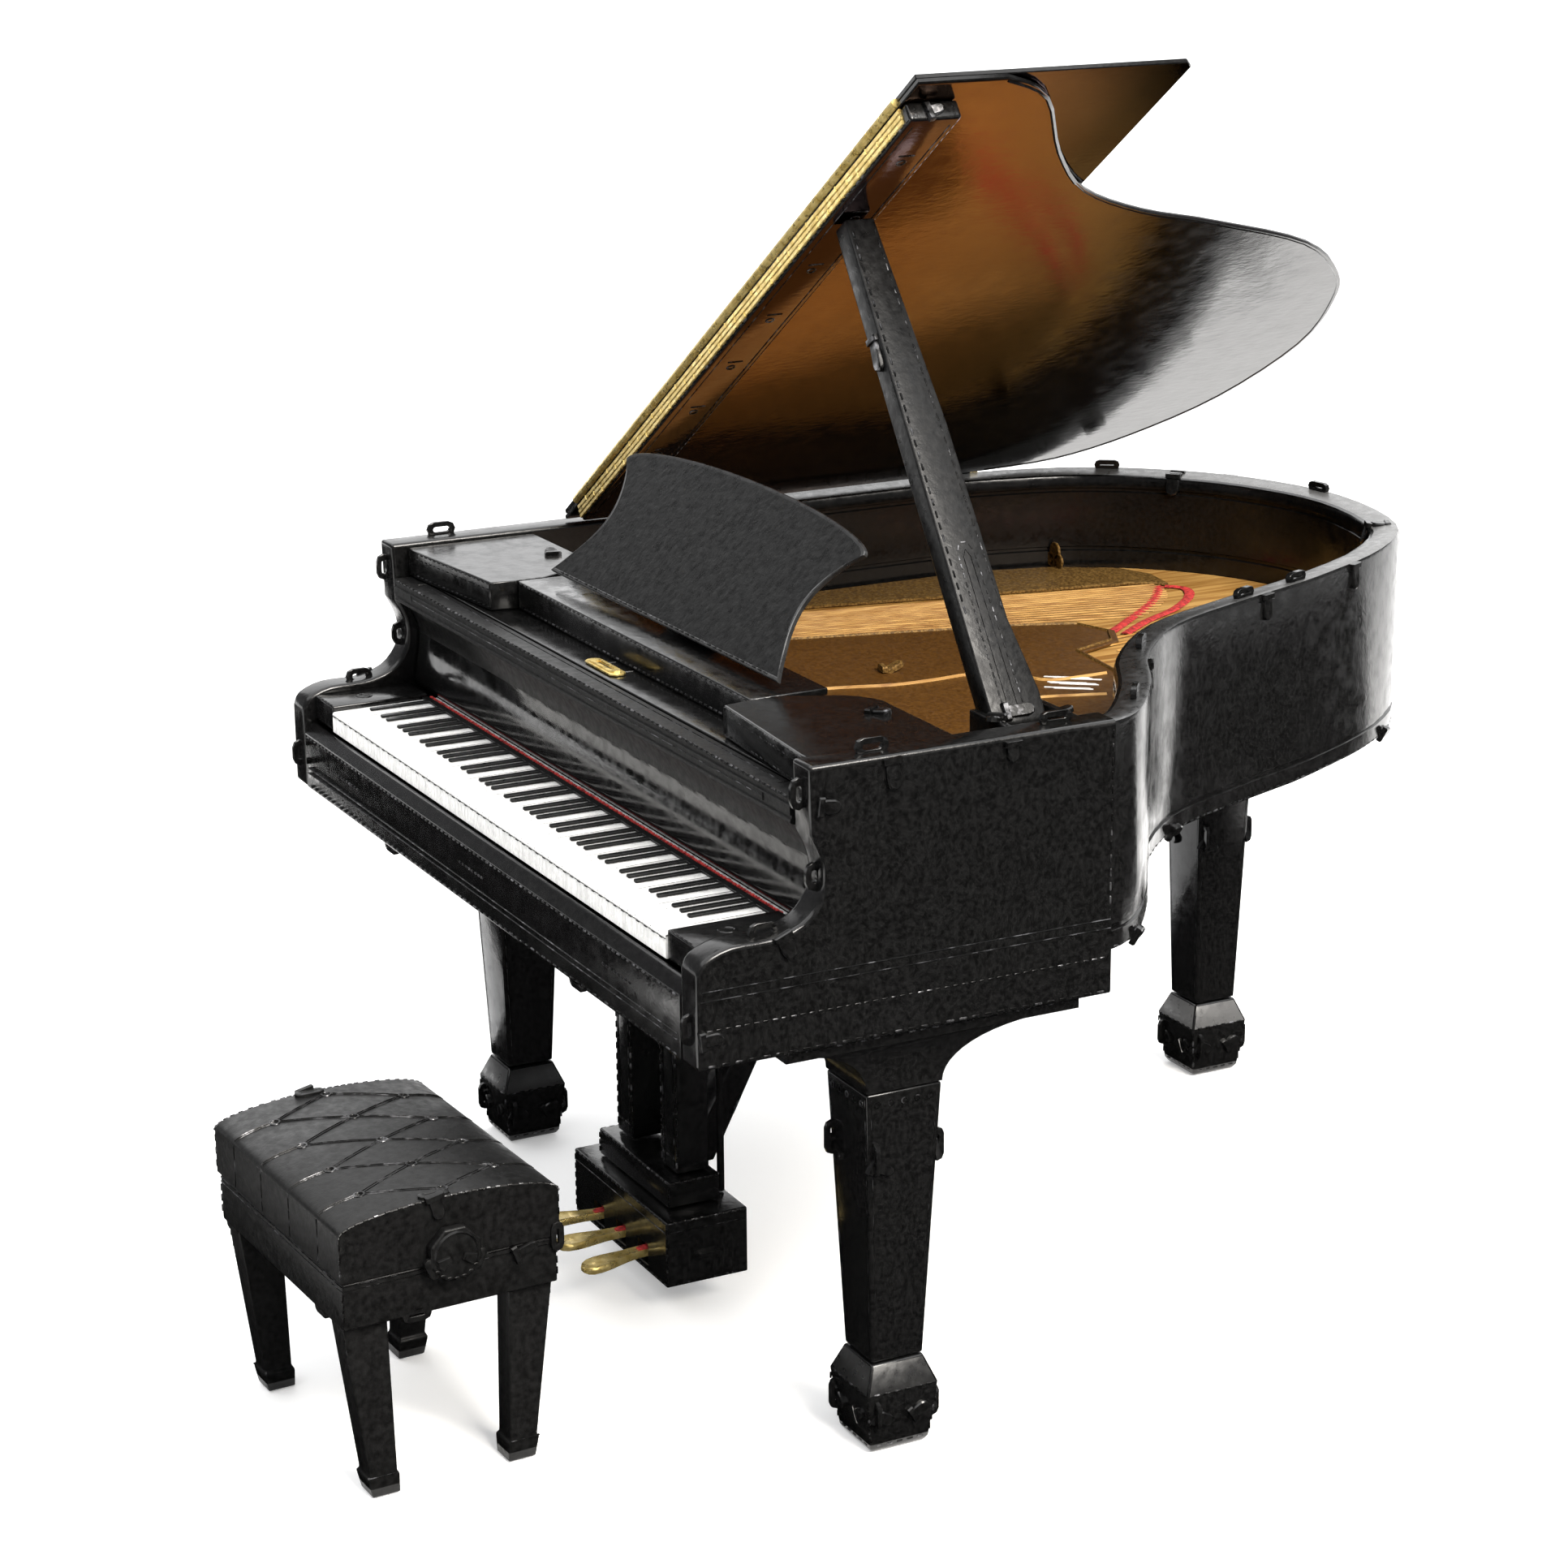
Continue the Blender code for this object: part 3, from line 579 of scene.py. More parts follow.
def side_panel_details():
    """Ruled lines, dashed folds, and the tabs and loops on each side panel."""
    for name, side in reversed(SIDES):
        x = side * HALF_WIDTH
        out = X * side
        kit = Kit()
        for z, front in ((34.9, 0.3), (34.3, 0.2)):
            kit.ridge(line(x, (front, 28.8), z), out, 0.13, 0.06)
        kit.dashes(*line(x, (0.5, 28.6), 32.4), out, 0.62, 0.4, 0.12, 0.05)
        kit.dashes(*line(x, (0.5, 28.6), 30.15), out, *COARSE, 0.16, 0.05)
        edge = x - side * 0.1
        kit.dashes(*line(edge, (8.2, 28.6), 47.6), (side, 0, 1), *COARSE, 0.14, 0.05)
        kit.dashes(*line(x, 28.75, (34.8, 47.4)), out, *COARSE, 0.14, 0.05)
        kit.folds(f"side_{name}_folds")
        kit = Kit()
        kit.tab((x, 13.2, 46.6), out, (0, 0, -1), 2.0, 0.95, 6, 4)
        kit.tab((x, 8.9, 45.2), out, (0, 1, 0), 1.5, 0.9, 6, -6)
        kit.tab((x, 6.0, 36.9), out, (0, 0.3, -1), 1.7, 0.95, 6, 6)
        kit.tab((x, 0.9, 31.9), out, (0, 1, 0.1), 1.5, 0.8, 6, 0)
        kit.tab((x, 21.5, 46.8), out, (0, 0, -1), 1.3, 0.8, 6, 0)
        # The left loop stands further out, clear of the flap when the flap is thrown open.
        inset = 1.2 if name == "right" else 0.4
        kit.loop((x - side * inset, 12.4, 48.0), Z, Y, 2.3, 1.15)
        kit.loop((x - side * 1.1, 7.5, 45.9), -Y, Z, 2.0, 1.1)
        kit.loop((x - side * 1.1, 8.5, 40.6), -Y, Z, 1.8, 1.1)
        kit.loop((x - side * 1.1, 5.0, 37.55), Z, Y, 2.1, 1.15)
        kit.loop((x - side * 1.1, 0.1, 32.3), -Y, Z, 2.0, 1.1)
        kit.piece(f"side_{name}_tabs")


KEYSLIP_SPAN = (-32.2, 32.2)


def keyslip_details():
    kit = Kit()
    kit.dashes(*line(KEYSLIP_SPAN, 0.0, 33.95), (0, -1, 0.3), *FINE, 0.15, 0.07)
    for z in (31.5, 31.1):
        kit.ridge(line(KEYSLIP_SPAN, 0, z), -Y, 0.13, 0.06)
    kit.dashes(*line(KEYSLIP_SPAN, 0.0, 30.1), (0, -1, -0.4), *COARSE, 0.15, 0.05)
    for x in (-23.5, 0.0, 23.5):
        kit.dashes(*line((x - 2.2, x + 2.2), 0, 32.6), -Y, 0.55, 0.4, 0.2, 0.06)
    kit.folds("keyslip_folds")
    kit = Kit()
    for x in (-16.3, 16.4):
        kit.loop((x, 0.5, 29.8), -Z, X, 2.3, 1.0)
    for x in (-30.0, 30.0):
        kit.tab((x, 0.9, 29.85), -Z, X, 1.4, 0.9)
    kit.piece("keyslip_tabs")


def cheek_details():
    """A screw and a dashed front fold on each cheek block."""
    for name, side in SIDES:
        kit = Kit()
        x = side * 30.7
        kit.eyelet((x, 4.2, 36.95), Z, 0.55)
        kit.dashes(*line((x - 1.5, x + 1.5), 1.1, 36.95), (0, -1, 1), *SHORT, 0.14, 0.05)
        kit.piece(f"cheek_{name}_screw")


def case_shell():
    """The wall, the panels and boards, and what is folded or bent on them."""
    path = rim_path()
    bent_wall(path)
    bent_wall_details(path)
    for node in ("side_panel_left", "side_panel_right"):
        skin(node, 0.3, 3, 38, 28.9)
    for node in ("bottom_board", "keybed", "keyslip", "belly_rail", "soundboard", "key_support",
                 "cheek_block_left", "cheek_block_right"):
        skin(node, 0.12)
    side_panel_details()
    keyslip_details()
    cheek_details()


# ---- keyboard

KEYS_HALF = 28.8
WHITE_COUNT = 52
PITCH = 2 * KEYS_HALF / WHITE_COUNT


def white_keys():
    """Each key top with its own rounded lip, over one printed fascia with faint streaks."""
    kit = Kit()
    gap, lip = 0.035, 0.14
    for i in range(WHITE_COUNT):
        x0, x1 = -KEYS_HALF + i * PITCH + gap, -KEYS_HALF + (i + 1) * PITCH - gap
        profile = [(0.93, 36.2), (0.9, 36.45), (0.98, 36.56), (1.0 + lip, 36.6), (9.3, 36.6), (9.3, 36.2)]
        edge = [(0.97, 36.2), (0.94, 36.43), (1.02, 36.53), (1.04 + lip, 36.57), (9.3, 36.57), (9.3, 36.2)]
        rings = [[(x, y, z) for y, z in section]
                 for x, section in ((x0, edge), (x0 + 0.05, profile), (x1 - 0.05, profile), (x1, edge))]
        kit.loft(rings)
    fascia = [(0.98, 35.02), (0.93, 35.05), (0.93, 36.12), (0.98, 36.2), (9.2, 36.2), (9.2, 35.02)]
    kit.loft([[(x, y, z) for y, z in fascia] for x in (-KEYS_HALF, KEYS_HALF)])
    for i in range(2 * WHITE_COUNT):
        x = -KEYS_HALF + (i + 0.5) * PITCH / 2
        kit.ridge(line(x, 0.93, (35.1, 36.1)), -Y, 0.1, 0.035)
    kit.piece("white_key_sheet", "case", "white_enamel", ["white_keys"])
    lines = Kit()
    for i in range(WHITE_COUNT + 1):
        x = -KEYS_HALF + i * PITCH
        lines.ridge([(x, 0.95, 36.52), (x, 3.4, 36.575), (x, 8.4, 36.575)], Z, 0.05, 0.02)
    lines.dashes(*line((-KEYS_HALF, KEYS_HALF), 0.86, 36.3), -Y, PITCH, 0.4, 0.07, 0.03)
    lines.ridge(line((-KEYS_HALF, KEYS_HALF), 0.88, 36.33), -Y, 0.05, 0.02)
    lines.piece("white_key_lines", "case", "satin_black")


def black_keys():
    """The comb of sharps, with a pale worn tip on each."""
    skin("black_keys", 0.03, 1)
    tips = Kit()
    for i in range(1, WHITE_COUNT):
        if (i - 1) % 7 in (0, 2, 3, 5, 6):
            x = -KEYS_HALF + i * PITCH
            tips.dash(spot((x, 3.36, 36.6), Z, Y), 0.42, 0.34, 0.06)
    tips.piece("black_key_tips", "case", "white_enamel")


def key_felt():
    """The red strip, printed as a row of short uneven blotches."""
    draw = random.Random(7)
    kit = Kit()
    x = -KEYS_HALF
    while x < KEYS_HALF:
        length = draw.uniform(0.25, 0.6)
        where = spot((x + length / 2, 8.8 + draw.uniform(-0.02, 0.02), 36.76), Z, X)
        kit.dash(where, length, draw.uniform(0.2, 0.3), 0.06)
        x += length + 0.03
    kit.piece("key_felt_print", "case", "red_enamel", ["key_felt"])


def fallboard():
    """The curved board: a rounded foot, a hollow glossy face, a moulded rail and a ledge."""
    kit = Kit(FALL)
    front = smooth_curve([(-0.35, 0.1), (-0.12, 1.6), (0.12, 3.0), (0.1, 4.4), (-0.55, 5.8), (-1.3, 6.4)], 5)
    rail = [(-1.62, 6.5), (-1.72, 6.58), (-1.72, 6.78), (-1.62, 6.86), (-1.62, 7.02), (-1.75, 7.08),
            (-1.75, 7.62), (-1.64, 7.7), (-1.64, 7.84), (-1.75, 7.9), (-1.75, 8.08), (-1.65, 8.2),
            (-0.2, 8.2), (-0.15, 7.0)]
    back = smooth_curve([(0.45, 6.2), (0.78, 4.4), (0.78, 2.9), (0.5, 1.4), (0.3, -0.1)], 3)
    foot = [(0.25 * cos(a), -0.1 + 0.25 * sin(a)) for a in (-pi * i / 5 for i in range(1, 5))]
    profile = front + rail + back + foot
    half, moulding = 32.4, 3.9
    kit.loft([[(x, y, z) for y, z in profile] for x in (-half, half)])
    kit.accent(lambda face: face.calc_center_median().z > moulding and len(face.verts) == 4)
    kit.piece("fallboard_sheet", "fallboard", "black_lacquer", ["fallboard"],
              materials=[GLOSS_LACQUER, GRAINED_BLACK])
    kit = Kit(FALL)
    kit.dashes(*line((-32, 32), -1.72, 8.17), (0, -1, 1), *FINE, 0.14, 0.06)
    kit.ridge(line((-29, 29), -1.76, 7.35), -Y, 0.1, 0.04)
    for x in (-28.9, 28.9):
        kit.ridge(line(x, -1.76, (7.1, 7.6)), -Y, 0.14, 0.05)
    for x in (-29.4, 29.4):
        kit.ridge(line(x, (-1.0, -0.3), 8.22), Z, 0.14, 0.05)
    kit.ridge(line((-29.4, 29.4), -0.6, 8.2), Z)
    kit.folds("fallboard_folds", "fallboard")


def lock():
    """The gold lock plate: a rim round a plain slot."""
    skin("lock_plate", 0.04, 1)
    kit = Kit()
    where = spot((-0.2, 10.4, 45.5), Z, X)
    frame_outline, hole = pill(4.0, 0.9, 4), pill(2.6, 0.34, 4)
    rings = []
    for (x0, y0), (x1, y1) in zip(frame_outline, hole):
        rings.append([where @ Vector(p) for p in ((x0, y0, -0.03), (x0 * 0.98, y0 * 0.95, 0.1),
                                                  (x1, y1, 0.1), (x1, y1, -0.03))])
    kit.loft(rings, closed=True)
    kit.piece("lock_plate_rim", "case", "gold")
    kit = Kit()
    kit.dash(spot((-0.2, 10.4, 45.5), Z, X), 2.5, 0.26, 0.02)
    for x in (-1.5, 1.3):
        kit.ridge(line((x, x + 0.1), (11.15, 11.75), 45.3), Z, 0.12, 0.06)
    kit.piece("lock_plate_slot", "case", "satin_black")


def keyboard():
    white_keys()
    black_keys()
    key_felt()
    fallboard()
    skin("fallboard_ledge", 0.1)
    lock()


# ---- shelf and desk

def shelf():
    skin("music_shelf", 0.12)
    for node in ("shelf_block_left", "shelf_block_right"):
        skin(node, 0.14)
    kit = Kit()
    for z in (47.3, 45.55):
        kit.dashes(*line((-18.4, 18.4), 11.9, z), (0, -1, 0.5), *FINE, 0.15, 0.06)
    for x in (-12.5, 0.0, 12.5):
        kit.dashes(*line((x - 1.6, x + 1.6), 11.95, 46.5), -Y, 0.55, 0.42, 0.24, 0.06)
    kit.folds("shelf_folds")
    for name, side in SIDES:
        kit = Kit()
        a, b = Vector((side * 19.1, 9.92, 0)), Vector((side * 31.2, 8.92, 0))
        for z in (47.3, 46.9, 45.6):
            kit.dashes(a + Z * z, b + Z * z, (0, -1, 0.5), *FINE, 0.14, 0.06)
        kit.ridge([a + Z * 45.6, a + Z * 47.3], (-side * 0.7, -1, 0), 0.3, 0.1)
        end = side * 18.72
        kit.dashes(*line(end, (11.7, 13.9), 47.4), (-side, 0, 1), *FINE, 0.14, 0.06)
        kit.tab((side * 25.5, 17.6, 47.45), Z, (side, 0.4, 0), 1.5, 0.9)
        kit.folds(f"shelf_block_{name}_folds")


def music_desk():
    """The leaning plate: hollow sides, a bowed top and a thin rolled edge, all one pressed sheet."""
    waist = [(17.9, 0.25), (17.0, 1.4), (15.6, 3.6), (15.1, 5.4), (15.5, 7.2), (16.7, 9.0), (18.0, 10.1)]
    right = smooth_curve(waist, 4)
    crown = [(18.0 * cos(a), 10.1 + 1.9 * sin(a)) for a in (pi * i / 36 for i in range(1, 36))]
    outline = right + crown + [(-x, h) for x, h in reversed(right)]
    kit = Kit(DESK)
    rings = []
    for y, shrink in ((-0.12, 0.0), (-0.175, 0.06), (-0.175, 0.2), (-0.15, 0.28)):
        rings.append([(x - copysign(shrink, x), y, 6 + (h - 6) * (1 - shrink / 6)) for x, h in outline])
    back = [[(x, -y, h) for x, y, h in ring] for ring in reversed(rings)]
    kit.loft(list(reversed(rings)) + list(reversed(back)))
    # The rolled edge gets the painted-highlight material, its colour painted paler towards the tail.
    kit.accent(lambda face: len(face.verts) == 4)
    kit.piece("music_desk_sheet", "music_desk", "satin_black", ["music_desk"], 25,
              [MATERIALS["satin_black"], PAINTED_HIGHLIGHT_EDGE])
    kit = Kit(DESK)
    kit.dashes(*line((-16.5, 16.5), -0.2, 0.45), -Y, *MIDDLE, 0.14, 0.05)
    kit.folds("music_desk_folds", "music_desk")
    skin("desk_strut", 0.08)


# ---- lid

def lid_outline():
    """The lid's corners in its own frame, in order."""
    to_lid = LID.inverted()
    bm = cleaned("lid")
    face = max(bm.faces, key=lambda f: f.calc_area())
    points = [to_lid @ corner.co for corner in face.verts]
    bm.free()
    return [(p.x, p.y) for p in points]


def lid_sheet():
    """A thin sheet: lacquered on top and round its rolled edge, a mirror underneath with a painted reflection
    of the deck.
    """
    outline = lid_outline()
    kit = Kit(LID)
    centre = Vector((30, 45))

    def ring(shrink, n):
        return [(x + (centre.x - x) * shrink / 30, y + (centre.y - y) * shrink / 30, n) for x, y in outline]

    kit.loft([ring(0.3, -0.8), ring(0.08, -0.8), ring(0, -0.73), ring(0, -0.52), ring(0.08, -0.45),
              ring(0.3, -0.45)])
    # The underside gets the painted reflection: a copper cast painted in, clearing towards the tail.
    kit.accent(lambda face: face.calc_center_median().z < -0.79)
    kit.piece("lid_sheet", "lid", "black_lacquer", ["lid"], 40, [MATERIALS["black_lacquer"], LID_PAINTED_REFLECTION])
    kit = Kit(LID)
    edge = ring(0.35, -0.8)
    turn = max(range(len(edge)), key=lambda i: (edge[i - 1][1] < 28.5) * edge[i][1])
    edge = edge[turn:] + edge[:turn]
    edge = [point for point in edge if point[1] > 28.5]
    kit.ridge(edge, -Z, 0.25, 0.06)
    kit.ridge([point for point in edge if point[1] < 43 and point[0] > 40], -Z, 0.38, 0.12)
    kit.piece("lid_lip", "lid", "black_lacquer")


def mirror_below(piece, material):
    """Puts a second material on the faces that look down through the lid."""
    piece.data.materials.append(material)
    down = (LID.to_3x3() @ -Z).normalized()
    for face in piece.data.polygons:
        face.material_index = int(face.normal.dot(down) > 0.9)


BEAM_FRONT = 22.62


def lid_beam():
    """The box beam: dashed folds, a line of eyelets with their slots below, and a tab at its end."""
    # The beam's downward faces get the flap's painted reflection, a warm cast painted in.
    mirror_below(skin("lid_beam", 0.22, 3), FLAP_PAINTED_REFLECTION)
    front, low = BEAM_FRONT, -2.1
    kit = Kit(LID)
    start, end = 3.8, 65.0
    rear = front + 3.6
    kit.dashes(*line((start, end), front, low + 0.15), (0, -1, -1), *LONG, 0.16, 0.07)
    kit.dashes(*line((start, end), rear, low + 0.06), (0, 1, -1), *LONG, 0.14, 0.05)
    for v in (0.55, 3.2):
        kit.ridge(line((4.5, 64.5), front + v, low), -Z)
    for i in range(8):
        u = 8.0 + i * 7.4
        kit.eyelet((u, front + 1.9, low), -Z, 0.3)
        kit.dash(spot((u + 0.9, front + 1.9, low), -Z, Y), 1.2, 0.2, 0.07)
    for v in (0.5, 3.2):
        kit.dashes(*line(65.4, front + v, (-1.0, -2.0)), X, 0.5, 0.32, 0.14, 0.05)
    kit.tab((65.4, front + 1.9, -1.5), X, Y, 1.2, 0.7)
    kit.folds("lid_beam_folds", "lid")


def lid_hinge_leaf():
    """The gold strip on the front of the beam: three rows, each cut by short upright lines."""
    kit = Kit(LID)
    front = BEAM_FRONT
    for row, (high, foot) in enumerate(((-0.84, -1.17), (-1.21, -1.54), (-1.58, -1.9))):
        strip = [(front + 0.05, high), (front - 0.12, high), (front - 0.17, high - 0.05),
                 (front - 0.17, foot + 0.05), (front - 0.12, foot), (front + 0.05, foot)]
        kit.loft([[(u, y, n) for y, n in strip] for u in (3.7, 64.6)])
        for i in range(12):
            u = 5.6 + i * 4.9 + row * 1.6
            kit.ridge(line(u, front - 0.17, (high, foot)), -Y, 0.16, 0.05)
    kit.piece("lid_hinge_leaf", "lid", "gold", ["lid_hinge_strip"])


def lid_hinge_barrel():
    """The long knuckles between lid and flap, round the joint's own axis."""
    kit = Kit(LID)
    count, start, end = 30, 3.7, 64.6
    step = (end - start) / count
    for i in range(count):
        u0, u1 = start + i * step + 0.02, start + (i + 1) * step - 0.02
        rings = []
        for u, radius in ((u0, 0.3), (u0 + 0.04, 0.33), (u1 - 0.04, 0.33), (u1, 0.3)):
            rings.append([(u, 22.5 + radius * cos(a), -0.4 + radius * sin(a)) for a in ROUND])
        kit.loft(rings)
    kit.piece("lid_hinge_barrel", "lid", "gold")


def lid_flap():
    # The flap's downward faces get its painted reflection, a warm cast painted in.
    mirror_below(skin("lid_flap", 0.06, 1), FLAP_PAINTED_REFLECTION)
    kit = Kit(LID)
    kit.ridge(line((1.4, 66.3), 42.5, 0), Z)
    kit.folds("lid_flap_folds", "lid_flap")


def lid_hinges():
    for node in ("lid_hinge_front", "lid_hinge_rear"):
        skin(node, 0.04, 1)
        y0 = (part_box(node)[0].y - ORIGIN.y) / MM
        kit = Kit()
        for i in range(1, 5):
            y = y0 + i * 0.72
            kit.ridge([(-35.55, y, 47.75), (-35.6, y, 48.1), (-35.45, y, 48.4)], -X, 0.1, 0.05)
        for y in (y0 + 0.9, y0 + 2.7):
            kit.eyelet((-35.3, y, 46.9), -X, 0.2)
        kit.piece(node + "_knuckles", "case", "gold")


def lid_group():
    lid_sheet()
    lid_beam()
    lid_hinge_leaf()
    lid_hinge_barrel()
    lid_flap()
    lid_hinges()


# ---- prop

def prop():
    """The lid's prop, with dashed edges and an arched panel at its foot, and its bracket's tabs."""
    skin("lid_prop", 0.16, 2)
    skin("prop_bracket", 0.12)
    kit = Kit(PROP)
    y0, x = 23.5, 0.85
    kit.dashes((x, y0 + 0.3, 7.0), (x, y0 + 0.25, 34.0), (0.6, -1, 0), *LONG, 0.15, 0.06)
    kit.dashes((x, y0 + 3.0, 7.0), (x, y0 + 1.9, 34.0), (1, 0.5, 0), *LONG, 0.13, 0.05)
    arch = [(0.85, 1.0, 0.8), (0.85, 1.0, 11.2), (0.85, 1.3, 11.9), (0.85, 1.9, 11.9), (0.85, 2.2, 11.2),
            (0.85, 2.5, 0.8)]
    arch = [Vector((a, y0 + b, c)) for a, b, c in arch]
    for p, q in zip(arch, arch[1:]):
        kit.dashes(p, q, X, *SHORT, 0.12, 0.05)
    inner = [(0.85, 1.35, 0.8), (0.85, 1.35, 10.9), (0.85, 1.6, 11.4), (0.85, 1.85, 10.9), (0.85, 2.05, 0.8)]
    kit.ridge([Vector((a, y0 + b, c)) for a, b, c in inner], X)
    kit.tab((0.0, y0, 25.5), -Y, (0, 0, -1), 2.4, 0.9, 6, 0)
    kit.tab((0.85, y0 + 2.0, 0.4), X, Y, 2.2, 0.8, 4, 0)
    kit.folds("lid_prop_folds", "lid_prop")
    kit = Kit()
    kit.tab((30.6, 22.8, 47.5), Z, (0.4, -1, 0), 1.6, 0.9, 18, 25)
    kit.tab((30.9, 27.7, 47.5), Z, (-0.3, 1, 0), 1.3, 0.8, 12, -20)
    kit.loop((33.6, 25.4, 48.0), Z, Y, 2.3, 0.9)
    kit.piece("prop_bracket_tabs")


# ---- deck

DECK = 39.95
PLATE_TOP = 40.12


def strings():
    """Fine strings, as printed lines in low relief, that fan from the tuning pins to the tail."""
    kit = Kit()
    count = 15
    for i in range(count):
        t = i / (count - 1)
        start = Vector((-31.4 + 7.2 * t, 19.6, DECK))
        end = Vector((-21.4 + 8.4 * t, 68.8 - 6.6 * t * t, DECK))
        middle = start.lerp(end, 0.5) + Vector((0.5 - t, 0, 0))
        kit.ridge([start, middle, end], Z, 0.07, 0.05)
    treble_count = 12
    for i in range(treble_count):
        t = i / (treble_count - 1)
        start = (-8.0 + 17 * t, 52.6 + 2.5 * (1 - t), DECK)
        end = (-10.5 + 9 * t, 73.4 - 4 * t, DECK)
        kit.ridge([start, end], Z, 0.07, 0.07)
    kit.piece("strings", "case", "printed_wood")


def felt_arcs():
    """Two bowed red felts laid across the strings."""
    kit = Kit()
    for arc in ([(-20.7, 68.7), (-17.0, 65.7), (-12.9, 61.0), (-9.8, 57.1)],
                [(-20.6, 69.2), (-19.2, 70.2), (-16.7, 68.9), (-13.9, 65.7), (-11.6, 61.6), (-9.0, 58.0)]):
        kit.ridge([(x, y, DECK + 0.02) for x, y in smooth_curve(arc, 5)], Z, 0.8, 0.05)
    kit.piece("string_felts", "case", "red_enamel")


def treble_bridge():
    """The stepped edge of the treble bridge and the short rib beside it."""
    kit = Kit()
    step = smooth_curve([(-6.6, 24.0), (-4.9, 30.9), (-3.7, 34.7), (-3.5, 38.0), (-3.5, 41.2), (-1.6, 44.0),
                         (0.65, 45.4), (0.9, 50.0)], 4)
    kit.ridge([(x, y, PLATE_TOP) for x, y in step], Z, 0.34, 0.16)
    kit.ridge([(4.0, 41.0, PLATE_TOP), (4.5, 43.2, PLATE_TOP), (5.8, 46.9, PLATE_TOP)], Z, 0.3, 0.14)
    kit.piece("treble_bridge_strip", "case", "printed_wood", ["treble_bridge"])


def plate_border():
    """The raised edge of the front plate, with a row of tuning pins along its front."""
    kit = Kit()
    plate = [(-24.0, 19.6), (-18.8, 36.1), (-14.7, 51.5), (-12.8, 56.0), (-9.8, 56.9), (-7.3, 55.6),
             (-5.8, 51.6), (3.0, 50.6), (9.0, 50.6)]
    kit.ridge([(x, y, 40.1) for x, y in plate], Z, 0.3, 0.14)
    for i in range(14):
        kit.eyelet((-19.5 + i * 2.7, 21.5 + 0.4 * (i % 2), 40.1), Z, 0.3)
    kit.piece("plate_border", "case", "bronze_plate")


def pin_print():
    """Short pale dashes printed where the treble strings end."""
    kit = Kit()
    for i in range(8):
        at = (0.4 + 0.42 * i, 46.9 - 0.25 * i + 0.5 * (i % 3), PLATE_TOP)
        kit.dash(spot(at, Z, (0.59, 0.8, 0)), 3.4 - 0.5 * (i % 2), 0.3, 0.05)
    kit.piece("pin_print", "case", "white_enamel")


def deck_tabs():
    """A bent tab that holds the front plate, and one cut as a clover at the back of the deck."""
    kit = Kit()
    kit.tab((-7.3, 36.7, 40.3), Z, (0.2, 1, 0), 1.8, 1.0, 25, 0)
    kit.piece("plate_tab", "case", "bronze_plate")
    kit = Kit()
    where = spot((-30.2, 64.7, 39.9), -Y, X)
    for dx, dz, size in ((0, 1.5, 0.75), (-0.6, 0.75, 0.6), (0.6, 0.75, 0.6), (0, 0.3, 0.5)):
        disc = [(dx + size * cos(a), dz + size * sin(a)) for a in ROUND]
        kit.plate(where, disc, [(-0.12, 0.05), (-0.08, 0), (0.08, 0), (0.12, 0.05)])
    kit.piece("clover_tab", "case", "bronze_plate")


def deck():
    skin("iron_plate_spine", 0.06, 1)
    skin("iron_plate_front", 0.08, material=COPPER_PLATE)
    treble_bridge()
    strings()
    felt_arcs()
    plate_border()
    pin_print()
    deck_tabs()


# ---- legs and brackets

LEGS = {"front_left": (-29.57, 15.6, 25.0), "front_right": (29.57, 15.6, 25.0), "rear": (-16.0, 70.8, 32.6)}
LEG_HALVES = (3.7 / 2, 5.35 / 2)


def leg_sheets(name):
    """The tapered leg and its foot, whose sloping shoulders get a painted highlight that is paler towards the
    tail.
    """
    skin("leg_" + name, 0.16)
    smallest = 1.5 * MM * MM
    foot = skin("foot_" + name, 0.16)
    # The sloping shoulders get a painted highlight, paler towards the tail.
    foot.data.materials.append(PAINTED_HIGHLIGHT_EDGE)
    for face in foot.data.polygons:
        face.material_index = int(0.3 < face.normal.z < 0.9 and face.area > smallest)


def leg_folds(name):
    """Fine corner lines, dashed folds round the foot and a row of eyelets under the case."""
    x, y, top = LEGS[name]
    low, high = LEG_HALVES
    kit = Kit()
    for sx, sy in ((-1, -1), (1, -1), (1, 1), (-1, 1)):
        foot_a = Vector((x + sx * low, y + sy * low, 6.6))
        foot_b = Vector((x + sx * high, y + sy * high, top - 0.4))
        for normal, inset in ((Vector((0, sy, 0)), Vector((-sx * 0.3, 0, 0))),
                              (Vector((sx, 0, 0)), Vector((0, -sy * 0.3, 0)))):
            kit.ridge([foot_a + inset, foot_b + inset], normal, 0.09, 0.02)
        base, shoulder = 4.33 / 2, 5.2 / 2
        kit.dashes((x + sx * base, y + sy * base, 0.7), (x + sx * shoulder, y + sy * shoulder, 4.0),
                   (sx, sy, 0), 0.7, 0.45, 0.16, 0.05)
    for normal, along in ((X, Y), (-X, Y), (Y, X), (-Y, X)):
        for z, half in ((4.3, 2.5), (0.45, 2.05)):
            middle = Vector((x, y, z)) + normal * (half + (0.1 if z > 1 else 0.12))
            kit.dashes(middle - along * half * 0.92, middle + along * half * 0.92,
                       normal + Z * (0.6 if z > 1 else 0), *FINE, 0.15, 0.06)
        for i in range(5):
            at = Vector((x, y, top - 0.75)) + normal * (high - 0.04) + along * (i - 2) * 0.95
            kit.eyelet(at, normal, 0.2)
    kit.folds(f"leg_{name}_folds")


